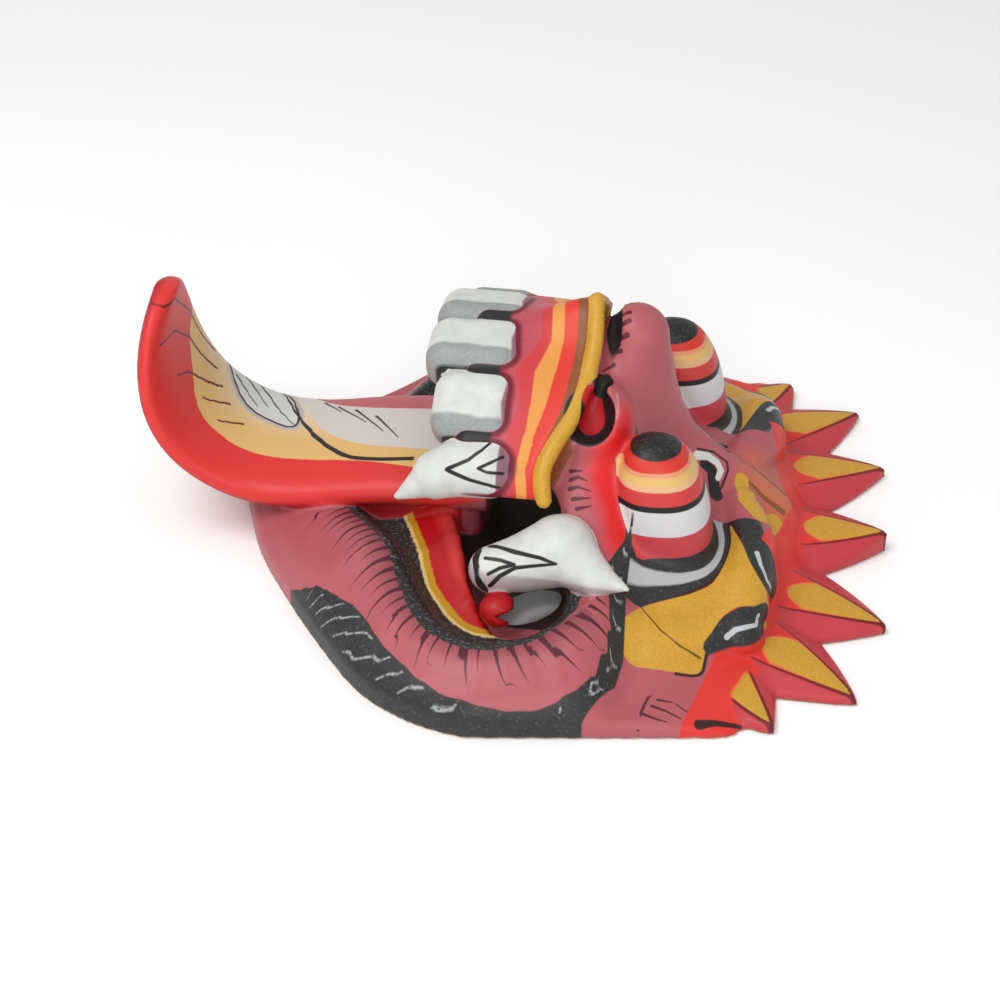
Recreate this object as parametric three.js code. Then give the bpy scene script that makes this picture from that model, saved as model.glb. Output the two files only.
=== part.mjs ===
// Carved dragon mask, lying face up on its flat back rim.
// +X points to the flame crown, -X to the chin and the tongue, +Z is the way the face looks.
// The two halves are alike, but the rim of the +Y half is drawn in at the jaw and the temple.
// Sizes are in millimetres.
//
// The carving is one body of rounded forms that are blended into each other. Each form is a
// function that gives the distance from a point to its surface, negative inside the wood.
// The body's surface is then traced on a fine grid and thinned where it is flat.

import * as THREE from 'three';

// ---- driving dimensions ----
const GRID = 1.8;            // step of the tracing grid
const FACES = 9400;          // triangles left after thinning
const WALL_BACK = 8;         // thickness of the mouth's floor
const BACK_HOLLOW = [57, 84, 27];   // half sizes of the hollow behind the face
const NOSE_HOLLOW = [12, 22, 33];   // half sizes of its deeper part behind the nose

// Rim in plan, from the chin round to the temple: x, y
const RIM = [
  [-84, 0], [-78.3, 14], [-70.6, 32], [-56.5, 53.7], [-42.4, 72.8],
  [-27.8, 90], [-13.2, 99.5], [2, 104], [16, 103.2], [90, 91.8],
];
// Crest of the lower lip, from the chin to the mouth's corner: x, y, z, width of the gum inside
const LIP = [
  [-50, 0, 14, 34], [-44, 20, 16, 32], [-35, 34, 20, 28], [-25, 48, 23, 22], [-17, 62, 19.5, 18],
  [-8, 74, 17, 16], [5, 82, 17, 11], [20, 81, 19, 7], [32, 73, 23, 6], [38, 64, 27, 6],
];
// Raised edge of the upper lip, from its peak down to the mouth's corner: x, y, z
const UPPER_EDGE = [
  [29, 0, 82.5], [30, 10, 75.5], [29, 20, 68], [26.5, 31, 62],
  [22, 40, 56.5], [19.5, 46, 51.5], [20.5, 51, 45],
];
const EDGE_RADIUS = 2.3;
// Upper jaw: an arch across the face, with its centre height and half sizes
const ARCH_BASE = 14;
const ARCH_HALF = 63;
const ARCH_RISE = 60.5;
const ARCH_POWER = 1.8;
const PALATE = 15;           // thickness of the upper jaw
const JAW_BOTTOM = 43;       // the upper jaw ends at this height
// Tongue: centre line from the throat to the curled tip: x, z
const TONGUE = [
  [0, 24], [-20, 24], [-40, 22], [-60, 18.8], [-75, 19.2], [-87.5, 24],
  [-97, 32], [-103, 43], [-105.3, 55], [-105, 66], [-103, 76],
];
const TONGUE_HALF_WIDTH = 27.5;
const TONGUE_TAPER = 46;     // length of the narrowing end
// Brow: x, y, z, radius
const BROW = [
  [76, 13, 20, 7], [80, 28, 17, 8], [79, 44, 15, 8.5], [76, 54, 9, 9.5],
  [66, 62, 6, 10.5], [54, 66, 6, 11.5], [41, 68, 6, 10],
];
// Tusk of the lower jaw: x, y, z, radius
const TUSK = [
  [7, 59.5, 25, 7], [16, 57.5, 27, 8.6], [26, 55.5, 31, 10.6], [37, 62.5, 28, 5.6],
  [47, 68.5, 29.5, 0.6],
];
const FANG = [[3.5, 42, 48, 8.6], [-5, 42, 47.6, 8.6], [-12, 43, 45, 7.2], [-23.5, 46, 38, 1]];
const NOSE = [
  [41.3, 0, 71.6, 9.7], [41.8, 0, 60, 9.8], [46, 0, 50, 8], [56, 0, 31, 8], [70, 0, 17, 9],
];
const ORNAMENT = [[60, 0, 28, 8], [73, 0, 15, 11], [83, 0, 7.5, 10]];
// Flames of one side: root x, y, tip x, y, half width, height at the root and at the tip
const FLAMES = [
  [70, 64, 91, 90.5, 22, 5.5, 3.2], [86, 56, 114, 74.5, 20, 6, 3],
  [92, 32, 122.5, 41, 22, 6.5, 3.8], [96, 0, 122.5, 0, 20, 6.8, 8],
];
// Hole through the floor at the mouth's corner, slanting inwards to the back
const HOLE = { x: 16.5, y: 54.5, z: 9, long: 11.5, short: 7.5, turn: 46, slant: 1, top: 19 };
// Eye: a tall bulge whose top leans to the mouth
const EYE = {
  x: 55, y: 34.5, z: 26, halfX: 14, halfY: 13.8, height: 31.5, leanX: 4.5, leanY: 1.5, power: 2.45,
};

// ---- blending ----
const clamp = (value, low, high) => Math.min(Math.max(value, low), high);
const ease = (t) => {
  const c = clamp(t, 0, 1);
  return c * c * (3 - 2 * c);
};
function join(a, b, round) {
  const h = Math.max(round - Math.abs(a - b), 0) / round;
  return Math.min(a, b) - h * h * round * 0.25;
}
const keep = (a, b, round) => -join(-a, -b, round);
const cut = (a, b, round) => keep(a, -b, round);

// ---- forms ----
function ellipsoid(x, y, z, centre, half, power = 2) {
  const ax = Math.abs(x - centre[0]) / half[0];
  const ay = Math.abs(y - centre[1]) / half[1];
  const az = Math.abs(z - centre[2]) / half[2];
  const sum = ax ** power + ay ** power + az ** power + 1e-9;
  const size = sum ** (1 / power);
  if (size < 0.15) return -0.8 * Math.min(...half);
  const slope = (size / sum) * Math.hypot(
    ax ** (power - 1) / half[0], ay ** (power - 1) / half[1], az ** (power - 1) / half[2]);
  return (size - 1) / (slope + 1e-9);
}
function oval(u, v, halfU, halfV, power) {
  const au = Math.abs(u) / halfU;
  const av = Math.abs(v) / halfV;
  const sum = au ** power + av ** power + 1e-9;
  const size = sum ** (1 / power);
  if (size < 0.15) return -0.85 * Math.min(halfU, halfV);
  const slope = (size / sum) * Math.hypot(au ** (power - 1) / halfU, av ** (power - 1) / halfV);
  return (size - 1) / (slope + 1e-9);
}
function cone(x, y, z, a, b) {
  const bx = b[0] - a[0];
  const by = b[1] - a[1];
  const bz = b[2] - a[2];
  const px = x - a[0];
  const py = y - a[1];
  const pz = z - a[2];
  const t = clamp((px * bx + py * by + pz * bz) / (bx * bx + by * by + bz * bz), 0, 1);
  return Math.hypot(px - t * bx, py - t * by, pz - t * bz) - (a[3] + (b[3] - a[3]) * t);
}
function chain(x, y, z, points, round = 0) {
  let d = cone(x, y, z, points[0], points[1]);
  for (let i = 1; i < points.length - 1; i += 1) {
    const next = cone(x, y, z, points[i], points[i + 1]);
    d = round ? join(d, next, round) : Math.min(d, next);
  }
  return d;
}
function block(x, y, z, half, round) {
  const qx = Math.abs(x) - half[0] + round;
  const qy = Math.abs(y) - half[1] + round;
  const qz = Math.abs(z) - half[2] + round;
  const outside = Math.hypot(Math.max(qx, 0), Math.max(qy, 0), Math.max(qz, 0));
  return outside + Math.min(Math.max(qx, qy, qz), 0) - round;
}

// ---- curves ----
function smoothed(points, steps) {
  const n = points.length;
  const at = (i, k) => {
    if (i < 0) return 2 * points[0][k] - points[1][k];
    if (i >= n) return 2 * points[n - 1][k] - points[n - 2][k];
    return points[i][k];
  };
  const out = [];
  for (let i = 0; i < n - 1; i += 1) {
    for (let j = 0; j < steps; j += 1) {
      const t = j / steps;
      out.push(points[i].map((_, k) => 0.5 * (2 * at(i, k) + (at(i + 1, k) - at(i - 1, k)) * t
        + (2 * at(i - 1, k) - 5 * at(i, k) + 4 * at(i + 1, k) - at(i + 2, k)) * t * t
        + (3 * at(i, k) - at(i - 1, k) - 3 * at(i + 1, k) + at(i + 2, k)) * t * t * t)));
    }
  }
  out.push(points[n - 1].slice());
  return out;
}
// Nearest place on a plane curve: length along it, distance (positive on the left), total length
function nearest(u, v, line) {
  let best = Infinity;
  let along = 0;
  let side = 0;
  let start = 0;
  for (let i = 0; i < line.length - 1; i += 1) {
    const bu = line[i + 1][0] - line[i][0];
    const bv = line[i + 1][1] - line[i][1];
    const length = Math.hypot(bu, bv);
    let t = ((u - line[i][0]) * bu + (v - line[i][1]) * bv) / (length * length);
    if (i > 0) t = Math.max(t, 0);
    if (i < line.length - 2) t = Math.min(t, 1);
    const eu = u - line[i][0] - t * bu;
    const ev = v - line[i][1] - t * bv;
    const d = Math.hypot(eu, ev);
    if (d < best) {
      best = d;
      along = start + t * length;
      side = bu * ev - bv * eu > 0 ? 1 : -1;
    }
    start += length;
  }
  return { along, off: side * best, total: start };
}
function lookup(t, keys, values) {
  if (t <= keys[0]) return values[0];
  for (let i = 1; i < keys.length; i += 1) {
    if (t <= keys[i]) {
      const f = (t - keys[i - 1]) / (keys[i] - keys[i - 1]);
      return values[i - 1] + f * (values[i] - values[i - 1]);
    }
  }
  return values[values.length - 1];
}
const column = (points, k) => points.map((p) => p[k]);

const rimLine = smoothed(RIM.map((p) => p.slice(0, 2)), 3);
const lipLine = smoothed(LIP.map((p) => p.slice(0, 2)), 3);
const lipKeys = [0];
for (let i = 1; i < lipLine.length; i += 1) {
  const step = Math.hypot(lipLine[i][0] - lipLine[i - 1][0], lipLine[i][1] - lipLine[i - 1][1]);
  lipKeys.push(lipKeys[i - 1] + step);
}
const lipMarks = lipKeys.filter((_, i) => i % 3 === 0);
const edgeLine = smoothed(UPPER_EDGE.map((p) => [...p, EDGE_RADIUS]), 3);
const grooveLine = smoothed(UPPER_EDGE.slice(0, -1).map((p) => [p[0] + 4, p[1], p[2] - 1, 2.6]), 2);
const tongueLine = smoothed(TONGUE, 3);
const browLine = smoothed(BROW, 2);

// ---- the mask's parts; y is the distance from the middle plane ----
const rim = (x, y) => nearest(x, y, rimLine).off;
function drawnIn(x) {
  const atJaw = 9 * Math.exp(-(((x + 42) / 22) ** 2));
  const atTemple = 6 * ease((x - 40) / 20) * (1 - ease((x - 74) / 8));
  return 3 + atJaw + atTemple;
}

function lowerJaw(x, y, z, out, plusSide) {
  const { along, off } = nearest(x, y, lipLine);
  const crest = lookup(along, lipMarks, column(LIP, 2));
  const gumWidth = lookup(along, lipMarks, column(LIP, 3));
  let height;
  if (off > 0) {
    const t = clamp(off / (off - Math.min(out, -0.2)), 0, 1);
    const flat = ease((-14 - x) / 26) * plusSide;
    const swell = 1.5 * (1 - flat) * Math.sin(Math.PI * clamp(t * 1.6, 0, 1));
    const fall = (1 - t ** (2.3 - 1.1 * flat)) ** (1 / (1.7 - 0.6 * flat));
    height = 5 + (crest - 5 + swell) * fall - 4 * flat * t;
  } else {
    const slope = crest - 1.5 - 5.5 * ease(-off / 7);
    const gum = crest - 7 + 4 * ease((-off - 8) / Math.max(gumWidth - 5, 1));
    height = keep(slope, gum, 1);
  }
  const banked = keep((z - height) * 0.78, -off - gumWidth, 2.5);
  return keep(join(banked, z - WALL_BACK, 2), x - 47, 16);
}
function upperJaw(x, y, z) {
  const rise = ease((x - 2) / 28);
  const top = ARCH_RISE + (9.5 * Math.exp(-((y / 9) ** 2)) - 1) * rise;
  const arch = oval(y, z - ARCH_BASE, ARCH_HALF, top, ARCH_POWER);
  let d = keep(arch, x - lookup(y, column(UPPER_EDGE, 1), column(UPPER_EDGE, 0)) - 0.5, 3);
  d = keep(d, -7 - x, 4);
  d = keep(d, -(arch + PALATE), 5);
  d = keep(keep(d, y - 50.5, 3), JAW_BOTTOM - z, 3);
  return join(d, chain(x, y, z, edgeLine), 1.5);
}
function tooth(x, y, z, place, tilt, front, root, half) {
  const depth = 8;
  const lean = THREE.MathUtils.degToRad(tilt);
  const ratio = (place / ARCH_HALF) ** ARCH_POWER;
  const height = ARCH_BASE + ARCH_RISE * (1 - ratio) ** (1 / ARCH_POWER);
  const dy = y - place - (depth - 1.2) * Math.sin(lean);
  const dz = z - height + (depth - 1.2) * Math.cos(lean);
  const across = Math.cos(lean) * dy + Math.sin(lean) * dz;
  const out = -Math.sin(lean) * dy + Math.cos(lean) * dz;
  return block(x - (front + root) / 2, across, out, [(root - front) / 2, half, depth], 6.5);
}
function nose(x, y, z) {
  let d = join(chain(x, y, z, NOSE, 3), ellipsoid(x, y, z, [37, 0, 53], [13.5, 22, 18]), 8);
  d = join(d, ellipsoid(x, y, z, [32.2, 22.5, 54.8], [11.5, 13, 13.5]), 3);
  return cut(d, ellipsoid(x, y, z, [30.9, 31, 62], [7, 8.5, 8.6]), 2);
}
function eye(x, y, z) {
  const t = (z - EYE.z) / 31;
  const dx = x - EYE.x + EYE.leanX * t;
  const dy = y - EYE.y + EYE.leanY * t;
  const half = [EYE.halfX, EYE.halfY, EYE.height];
  return ellipsoid(dx, dy, z, [0, 0, EYE.z], half, EYE.power);
}
function flames(x, y, z, out) {
  let d = Infinity;
  for (const [rootX, rootY, tipX, tipY, width, ridge, tip] of FLAMES) {
    const length = Math.hypot(tipX - rootX, tipY - rootY);
    const dx = (tipX - rootX) / length;
    const dy = (tipY - rootY) / length;
    const u = (x - rootX) * dx + (y - rootY) * dy;
    const v = Math.abs(-(x - rootX) * dy + (y - rootY) * dx);
    const t = u / length;
    const half = width * (t > 0 ? (1 - t) * (1 + 0.35 * t) : 1 - t * t);
    const leaf = (v - half) * length / Math.hypot(length, width);
    const roof = z - (tip + (ridge - tip) * (1 - clamp(t, 0, 1) ** 1.6));
    const slope = (roof + 0.45 * (v - Math.max(half, 0) * 0.4)) * 0.91;
    const flame = keep(leaf, keep(roof, slope, 1), 1.5);
    d = Math.min(d, tipY > 80 ? keep(flame, out, 1.5) : flame);
  }
  return d;
}

function tongue(x, y, z) {
  const { along, off, total } = nearest(x, z, tongueLine);
  const taper = clamp((along - total + TONGUE_TAPER) / TONGUE_TAPER, 0, 1);
  const half = Math.max(TONGUE_HALF_WIDTH * Math.sqrt(Math.max(1 - taper ** 2.4, 0)), 0.8);
  const marks = [0, total * 0.5, total - TONGUE_TAPER, total];
  const thick = lookup(along, marks, [7.5, 7, 6, 3.5]);
  const section = oval(y, off, half, thick, 2.5);
  const body = Math.max(section, along - total, -along);
  const root = keep(keep(y - 23, z - 21, 4), keep(-49 - x, x + 3, 4), 4);
  return join(body, root, 1.5);
}

function cheekHole(x, y, z) {
  const turn = HOLE.turn * Math.PI / 180;
  const u = x - HOLE.x;
  const v = y - HOLE.y - (z - HOLE.z) * HOLE.slant;
  const along = Math.cos(turn) * u - Math.sin(turn) * v;
  const across = Math.sin(turn) * u + Math.cos(turn) * v;
  return (Math.hypot(along / HOLE.long, across / HOLE.short, 0.001) - 1) * HOLE.short;
}

function mask(x, signedY, z) {
  const y = Math.abs(signedY);
  const plusSide = ease(signedY / 6);
  const out = rim(x, y + drawnIn(x) * plusSide);

  // head, opened for the mouth
  let head = join(ellipsoid(x, y, z, [30, 0, -4], [68, 91, 35.5]),
    ellipsoid(x, y, z, [40, 0, -6], [58, 110, 15.5], 3), 6);
  head = join(head, ellipsoid(x, y, z, [31, 0, 0], [33, 62, 60]), 10);
  head = join(head, ellipsoid(x, y, z, [58, 38, 4], [25, 25, 20]), 6);
  const mouth = keep(ellipsoid(x, y, z, [5, 0, 26], [32, 62, 20], 2.4), WALL_BACK - z, 3);
  head = cut(head, mouth, 4);
  const lip = nearest(x, y, lipLine).off;
  const trough = keep(keep(-lip - 70, lip + 1.5, 2), keep(x - 30, WALL_BACK - z, 3), 4);
  head = cut(head, keep(trough, z - 31, 4), 3);

  // jaw, nose, groove behind the upper lip's edge
  let d = keep(join(head, lowerJaw(x, y, z, out, plusSide), 5), out, 2);
  d = join(d, nose(x, y, z), 7);
  d = cut(d, chain(x, y, z, grooveLine), 2);

  // forehead, brow with its two bosses, flames, eyes
  d = join(d, chain(x, y, z, ORNAMENT), 5);
  d = join(d, chain(x, y, z, browLine), 2.5);
  const bossA = ellipsoid(x, y, z, [77.5, 57.5, 8], [9, 8.5, 8.8]);
  const bossB = ellipsoid(x, y, z, [83.5, 36, 12.5], [5.8, 10.5, 8.5]);
  d = Math.min(d, join(bossA, bossB, 1));
  d = join(d, flames(x, y, z, out), 2);
  d = join(d, eye(x, y, z), 2);

  // upper jaw with its teeth, tongue
  d = join(d, upperJaw(x, y, z), 3);
  const front = tooth(x, y, z, 11, -9, -20, 9, 10.9);
  const side = tooth(x, y, z, 31.5, -32, -15.5, 9, 11);
  d = join(d, join(front, side, 0.8), 1);
  d = join(d, chain(x, y, z, FANG), 1);
  d = join(d, tongue(x, y, z), 2);
  d = join(d, ellipsoid(x, y, z, [10, 68.5, 17.5], [5.5, 5.5, 5]), 1.5);

  // slanting hole at the mouth's corner, under the tusk
  d = cut(d, keep(cheekHole(x, y, z), z - HOLE.top, 2), 1.5);
  d = join(d, chain(x, y, z, TUSK), 1.2);

  // hollow back
  let hollow = keep(ellipsoid(x, y, z, [30, 0, -4], BACK_HOLLOW), 41 - x, 6);
  hollow = join(hollow, ellipsoid(x, y, z, [52, 0, 0], NOSE_HOLLOW), 6);
  d = cut(d, hollow, 2);
  return Math.max(d, -z);
}

// ---- tracing the surface ----
// Every grid cube is split into six tetrahedra, which gives a closed surface.
function trace(field, low, high, step) {
  const count = low.map((v, k) => Math.ceil((high[k] - v) / step) + 1);
  const [nx, ny, nz] = count;
  const values = new Float64Array(nx * ny * nz);
  const index = (i, j, k) => (i * ny + j) * nz + k;
  const place = (n) => {
    const k = n % nz;
    const j = Math.floor(n / nz) % ny;
    const i = Math.floor(n / (nz * ny));
    return [low[0] + i * step, low[1] + j * step, low[2] + k * step];
  };
  for (let n = 0; n < values.length; n += 1) {
    const [x, y, z] = place(n);
    const value = field(x, y, z);
    values[n] = Math.abs(value) < 1e-4 ? 1e-4 : value;
  }
  const points = [];
  const faces = [];
  const found = new Map();
  const crossing = (a, b) => {
    const key = a < b ? a * values.length + b : b * values.length + a;
    if (!found.has(key)) {
      const pa = place(a);
      const pb = place(b);
      const t = clamp(values[a] / (values[a] - values[b]), 0.06, 0.94);
      found.set(key, points.length);
      points.push(pa.map((v, k) => v + (pb[k] - v) * t));
    }
    return found.get(key);
  };
  const paths = [[1, 3], [1, 5], [2, 3], [2, 6], [4, 5], [4, 6]];
  const turn = [-1, 1, 1, -1, -1, 1];
  const emit = (a, b, c, flip) => faces.push(flip ? [a, c, b] : [a, b, c]);
  for (let i = 0; i < nx - 1; i += 1) {
    for (let j = 0; j < ny - 1; j += 1) {
      for (let k = 0; k < nz - 1; k += 1) {
        const corner = (c) => index(i + ((c >> 2) & 1), j + ((c >> 1) & 1), k + (c & 1));
        const all = [0, 1, 2, 3, 4, 5, 6, 7].map(corner);
        const inside = all.filter((n) => values[n] < 0).length;
        if (inside === 0 || inside === 8) continue;
        paths.forEach(([p, q], t) => {
          const tet = [all[0], all[p], all[q], all[7]];
          const ins = tet.filter((n) => values[n] < 0);
          const outs = tet.filter((n) => values[n] >= 0);
          if (ins.length === 0 || outs.length === 0) return;
          // parity of the order (ins, outs) against the tetrahedron's own order
          const order = [...ins, ...outs].map((n) => tet.indexOf(n));
          let swaps = 0;
          for (let a = 0; a < 4; a += 1) {
            for (let b = a + 1; b < 4; b += 1) if (order[a] > order[b]) swaps += 1;
          }
          const flip = (swaps % 2 === 0) !== (turn[t] > 0);
          if (ins.length === 1) {
            emit(crossing(ins[0], outs[0]), crossing(ins[0], outs[1]), crossing(ins[0], outs[2]), flip);
          } else if (ins.length === 3) {
            emit(crossing(ins[0], outs[0]), crossing(ins[1], outs[0]), crossing(ins[2], outs[0]), flip);
          } else {
            const a = crossing(ins[0], outs[0]);
            const b = crossing(ins[0], outs[1]);
            const c = crossing(ins[1], outs[1]);
            const e = crossing(ins[1], outs[0]);
            emit(a, b, c, flip);
            emit(a, c, e, flip);
          }
        });
      }
    }
  }
  return { points, faces };
}

// ---- thinning: edges collapse where the surface changes least ----
// A point on the back plane stays on it.
function thin(points, faces, target) {
  const pos = points.map((p) => p.slice());
  const tris = faces.map((f) => f.slice());
  const live = tris.map(() => true);
  const around = pos.map(() => new Set());
  tris.forEach((f, t) => f.forEach((v) => around[v].add(t)));
  const quadric = pos.map(() => new Float64Array(10));
  const normal = (a, b, c) => {
    const ux = b[0] - a[0];
    const uy = b[1] - a[1];
    const uz = b[2] - a[2];
    const vx = c[0] - a[0];
    const vy = c[1] - a[1];
    const vz = c[2] - a[2];
    return [uy * vz - uz * vy, uz * vx - ux * vz, ux * vy - uy * vx];
  };
  tris.forEach((f) => {
    const [a, b, c] = f.map((v) => pos[v]);
    const n = normal(a, b, c);
    const size = Math.hypot(...n) + 1e-12;
    const [x, y, z] = n.map((v) => v / size);
    const w = -(x * a[0] + y * a[1] + z * a[2]);
    const flat = a[2] < 1e-6 && b[2] < 1e-6 && c[2] < 1e-6 ? 6 : 1;
    const terms = [x * x, x * y, x * z, x * w, y * y, y * z, y * w, z * z, z * w, w * w];
    f.forEach((v) => terms.forEach((q, i) => { quadric[v][i] += q * size * flat; }));
  });
  const cost = (q, [x, y, z]) => q[0] * x * x + 2 * q[1] * x * y + 2 * q[2] * x * z + 2 * q[3] * x
    + q[4] * y * y + 2 * q[5] * y * z + 2 * q[6] * y + q[7] * z * z + 2 * q[8] * z + q[9];
  const onBase = (v) => pos[v][2] < 1e-6;
  const best = (a, b) => {
    const q = quadric[a].map((v, i) => v + quadric[b][i]);
    const mid = pos[a].map((v, k) => (v + pos[b][k]) / 2);
    const choices = [pos[a].slice(), pos[b].slice(), mid];
    const det = q[0] * (q[4] * q[7] - q[5] * q[5]) - q[1] * (q[1] * q[7] - q[5] * q[2])
      + q[2] * (q[1] * q[5] - q[4] * q[2]);
    const scale = (q[0] + q[4] + q[7]) ** 3;
    if (Math.abs(det) > 1e-4 * scale) {
      const yz = q[4] * q[7] - q[5] * q[5];
      const xz = q[1] * q[7] - q[2] * q[5];
      const xy = q[1] * q[5] - q[2] * q[4];
      choices.push([
        (-q[3] * yz + q[6] * xz - q[8] * xy) / det,
        (q[3] * xz - q[6] * (q[0] * q[7] - q[2] * q[2]) + q[8] * (q[0] * q[5] - q[1] * q[2])) / det,
        (-q[3] * xy + q[6] * (q[0] * q[5] - q[1] * q[2]) - q[8] * (q[0] * q[4] - q[1] * q[1])) / det,
      ]);
    }
    if (onBase(a) || onBase(b)) choices.forEach((c) => { c[2] = 0; });
    let pick = null;
    const span = Math.hypot(...pos[a].map((v, k) => v - pos[b][k]));
    for (const c of choices) {
      if (Math.hypot(...c.map((v, k) => v - mid[k])) > 1.6 * span) continue;
      const e = cost(q, c) + 1e-5 * span * span;
      if (!pick || e < pick.e) pick = { e, c };
    }
    return pick;
  };
  // heap of edges, smallest change first
  const heap = [];
  const stamp = pos.map(() => 0);
  const push = (a, b) => {
    const pick = best(a, b);
    const item = { ...pick, a, b, sa: stamp[a], sb: stamp[b] };
    let i = heap.push(item) - 1;
    while (i > 0) {
      const up = (i - 1) >> 1;
      if (heap[up].e <= item.e) break;
      heap[i] = heap[up];
      i = up;
    }
    heap[i] = item;
  };
  const pop = () => {
    const top = heap[0];
    const last = heap.pop();
    if (heap.length) {
      let i = 0;
      for (;;) {
        let c = 2 * i + 1;
        if (c >= heap.length) break;
        if (c + 1 < heap.length && heap[c + 1].e < heap[c].e) c += 1;
        if (heap[c].e >= last.e) break;
        heap[i] = heap[c];
        i = c;
      }
      heap[i] = last;
    }
    return top;
  };
  const neighbours = (v) => {
    const out = new Set();
    around[v].forEach((t) => tris[t].forEach((n) => { if (n !== v) out.add(n); }));
    return out;
  };
  const folds = (v, other, where) => {
    for (const t of around[v]) {
      if (tris[t].includes(other)) continue;
      const before = tris[t].map((n) => pos[n]);
      const after = tris[t].map((n) => (n === v ? where : pos[n]));
      const n0 = normal(...before);
      const n1 = normal(...after);
      const size = Math.hypot(...n1);
      const dot = n0[0] * n1[0] + n0[1] * n1[1] + n0[2] * n1[2];
      if (dot < 0.3 * Math.hypot(...n0) * size) return true;
      let longest = 0;
      for (let i = 0; i < 3; i += 1) {
        const p = after[i];
        const r = after[(i + 1) % 3];
        longest = Math.max(longest, Math.hypot(p[0] - r[0], p[1] - r[1], p[2] - r[2]));
      }
      if (size < 0.05 * longest * longest || longest > 30) return true;
    }
    return false;
  };
  let left = tris.length;
  let before = left + 1;
  while (left > target && (heap.length || left < before)) {
    if (!heap.length) {
      before = left;
      pos.forEach((_, v) => neighbours(v).forEach((n) => { if (v < n) push(v, n); }));
    }
    const { a, b, c, sa, sb } = pop();
    if (sa !== stamp[a] || sb !== stamp[b] || !around[a].size || !around[b].size) continue;
    const na = neighbours(a);
    const shared = [...neighbours(b)].filter((n) => na.has(n));
    if (shared.length !== 2 || folds(a, b, c) || folds(b, a, c)) continue;
    pos[a] = c;
    quadric[b].forEach((v, i) => { quadric[a][i] += v; });
    for (const t of [...around[b]]) {
      if (tris[t].includes(a)) {
        live[t] = false;
        left -= 1;
        tris[t].forEach((n) => around[n].delete(t));
      } else {
        tris[t] = tris[t].map((n) => (n === b ? a : n));
        around[a].add(t);
      }
    }
    around[b].clear();
    stamp[a] += 1;
    stamp[b] += 1;
    neighbours(a).forEach((n) => push(a, n));
  }
  return { points: pos, faces: tris.filter((_, t) => live[t]) };
}

// ---- the mesh ----
const traced = trace(mask, [-112, -107.1, -GRID / 2], [128, 107.2, 92], GRID);
const thinned = thin(traced.points, traced.faces, FACES);

const xs = thinned.faces.flat().map((v) => thinned.points[v][0]);
const middle = (xs.reduce((a, b) => Math.min(a, b)) + xs.reduce((a, b) => Math.max(a, b))) / 2;
const numbers = new Map();
const vertices = [];
const indices = thinned.faces.flat().map((v) => {
  if (!numbers.has(v)) {
    numbers.set(v, numbers.size);
    const [x, y, z] = thinned.points[v];
    vertices.push(x - middle, y, z);
  }
  return numbers.get(v);
});
const geometry = new THREE.BufferGeometry();
geometry.setAttribute('position', new THREE.Float32BufferAttribute(vertices, 3));
geometry.setIndex(indices);
geometry.computeVertexNormals();

const paintedWood = new THREE.MeshStandardMaterial({ color: 0xb0545c, roughness: 0.45, metalness: 0 });
const maskMesh = new THREE.Mesh(geometry, paintedWood);
maskMesh.name = 'mask';

const group = new THREE.Group();
group.name = 'dragon_mask';
group.add(maskMesh);
export default group;
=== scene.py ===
# A carved and painted dragon mask, lying face up on its flat back.
# The carving is one closed mesh, traced from the same rounded forms as the solid. The forms are
# written in millimetres; the mesh is placed over the solid and turned into metres at the end.
# The paint is a set of shader patterns that read places on the carving, stored per point.
import math

import bpy
import numpy as np
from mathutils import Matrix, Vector


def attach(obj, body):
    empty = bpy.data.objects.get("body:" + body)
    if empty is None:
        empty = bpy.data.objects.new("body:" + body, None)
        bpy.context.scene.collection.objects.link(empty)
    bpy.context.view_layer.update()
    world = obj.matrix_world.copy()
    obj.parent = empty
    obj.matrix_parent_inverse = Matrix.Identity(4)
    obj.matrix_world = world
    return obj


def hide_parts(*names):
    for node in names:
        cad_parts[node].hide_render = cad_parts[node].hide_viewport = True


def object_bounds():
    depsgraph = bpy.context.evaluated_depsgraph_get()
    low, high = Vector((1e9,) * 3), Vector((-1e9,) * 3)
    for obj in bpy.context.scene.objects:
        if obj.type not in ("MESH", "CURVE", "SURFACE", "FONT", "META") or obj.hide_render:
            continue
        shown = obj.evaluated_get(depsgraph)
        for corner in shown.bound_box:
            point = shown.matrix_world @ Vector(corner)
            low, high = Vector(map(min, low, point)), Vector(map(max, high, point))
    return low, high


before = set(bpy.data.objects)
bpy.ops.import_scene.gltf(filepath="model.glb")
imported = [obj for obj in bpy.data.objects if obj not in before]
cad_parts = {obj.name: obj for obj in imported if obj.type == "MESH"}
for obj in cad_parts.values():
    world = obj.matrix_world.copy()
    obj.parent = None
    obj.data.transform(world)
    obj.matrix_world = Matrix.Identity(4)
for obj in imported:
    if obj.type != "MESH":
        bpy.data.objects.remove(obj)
cad_low, cad_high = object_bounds()

MM = 0.001
FAR = 1e9
STEP = 1.15          # width of the tracing grid's cells
COARSE = 4                                  # cells in a step of the rough grid
TRIANGLES = 190000                          # the traced mesh is thinned to this many
LOW_CORNER, HIGH_CORNER = (-114, -109, 0), (127, 109, 90)
MOUTH_FLOOR = 8.0                           # thickness of the mouth's floor

# Paths of the carving, for the half with y above 0. A point is (x, y) or (x, y, z), with a
# radius as its last value where the path is a rounded chain.
RIM = [(-84, 0), (-78.3, 14), (-70.6, 32), (-56.5, 53.7), (-42.4, 72.8), (-27.8, 90),
       (-13.2, 99.5), (2, 104), (16, 103.2), (90, 91.8)]
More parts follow.
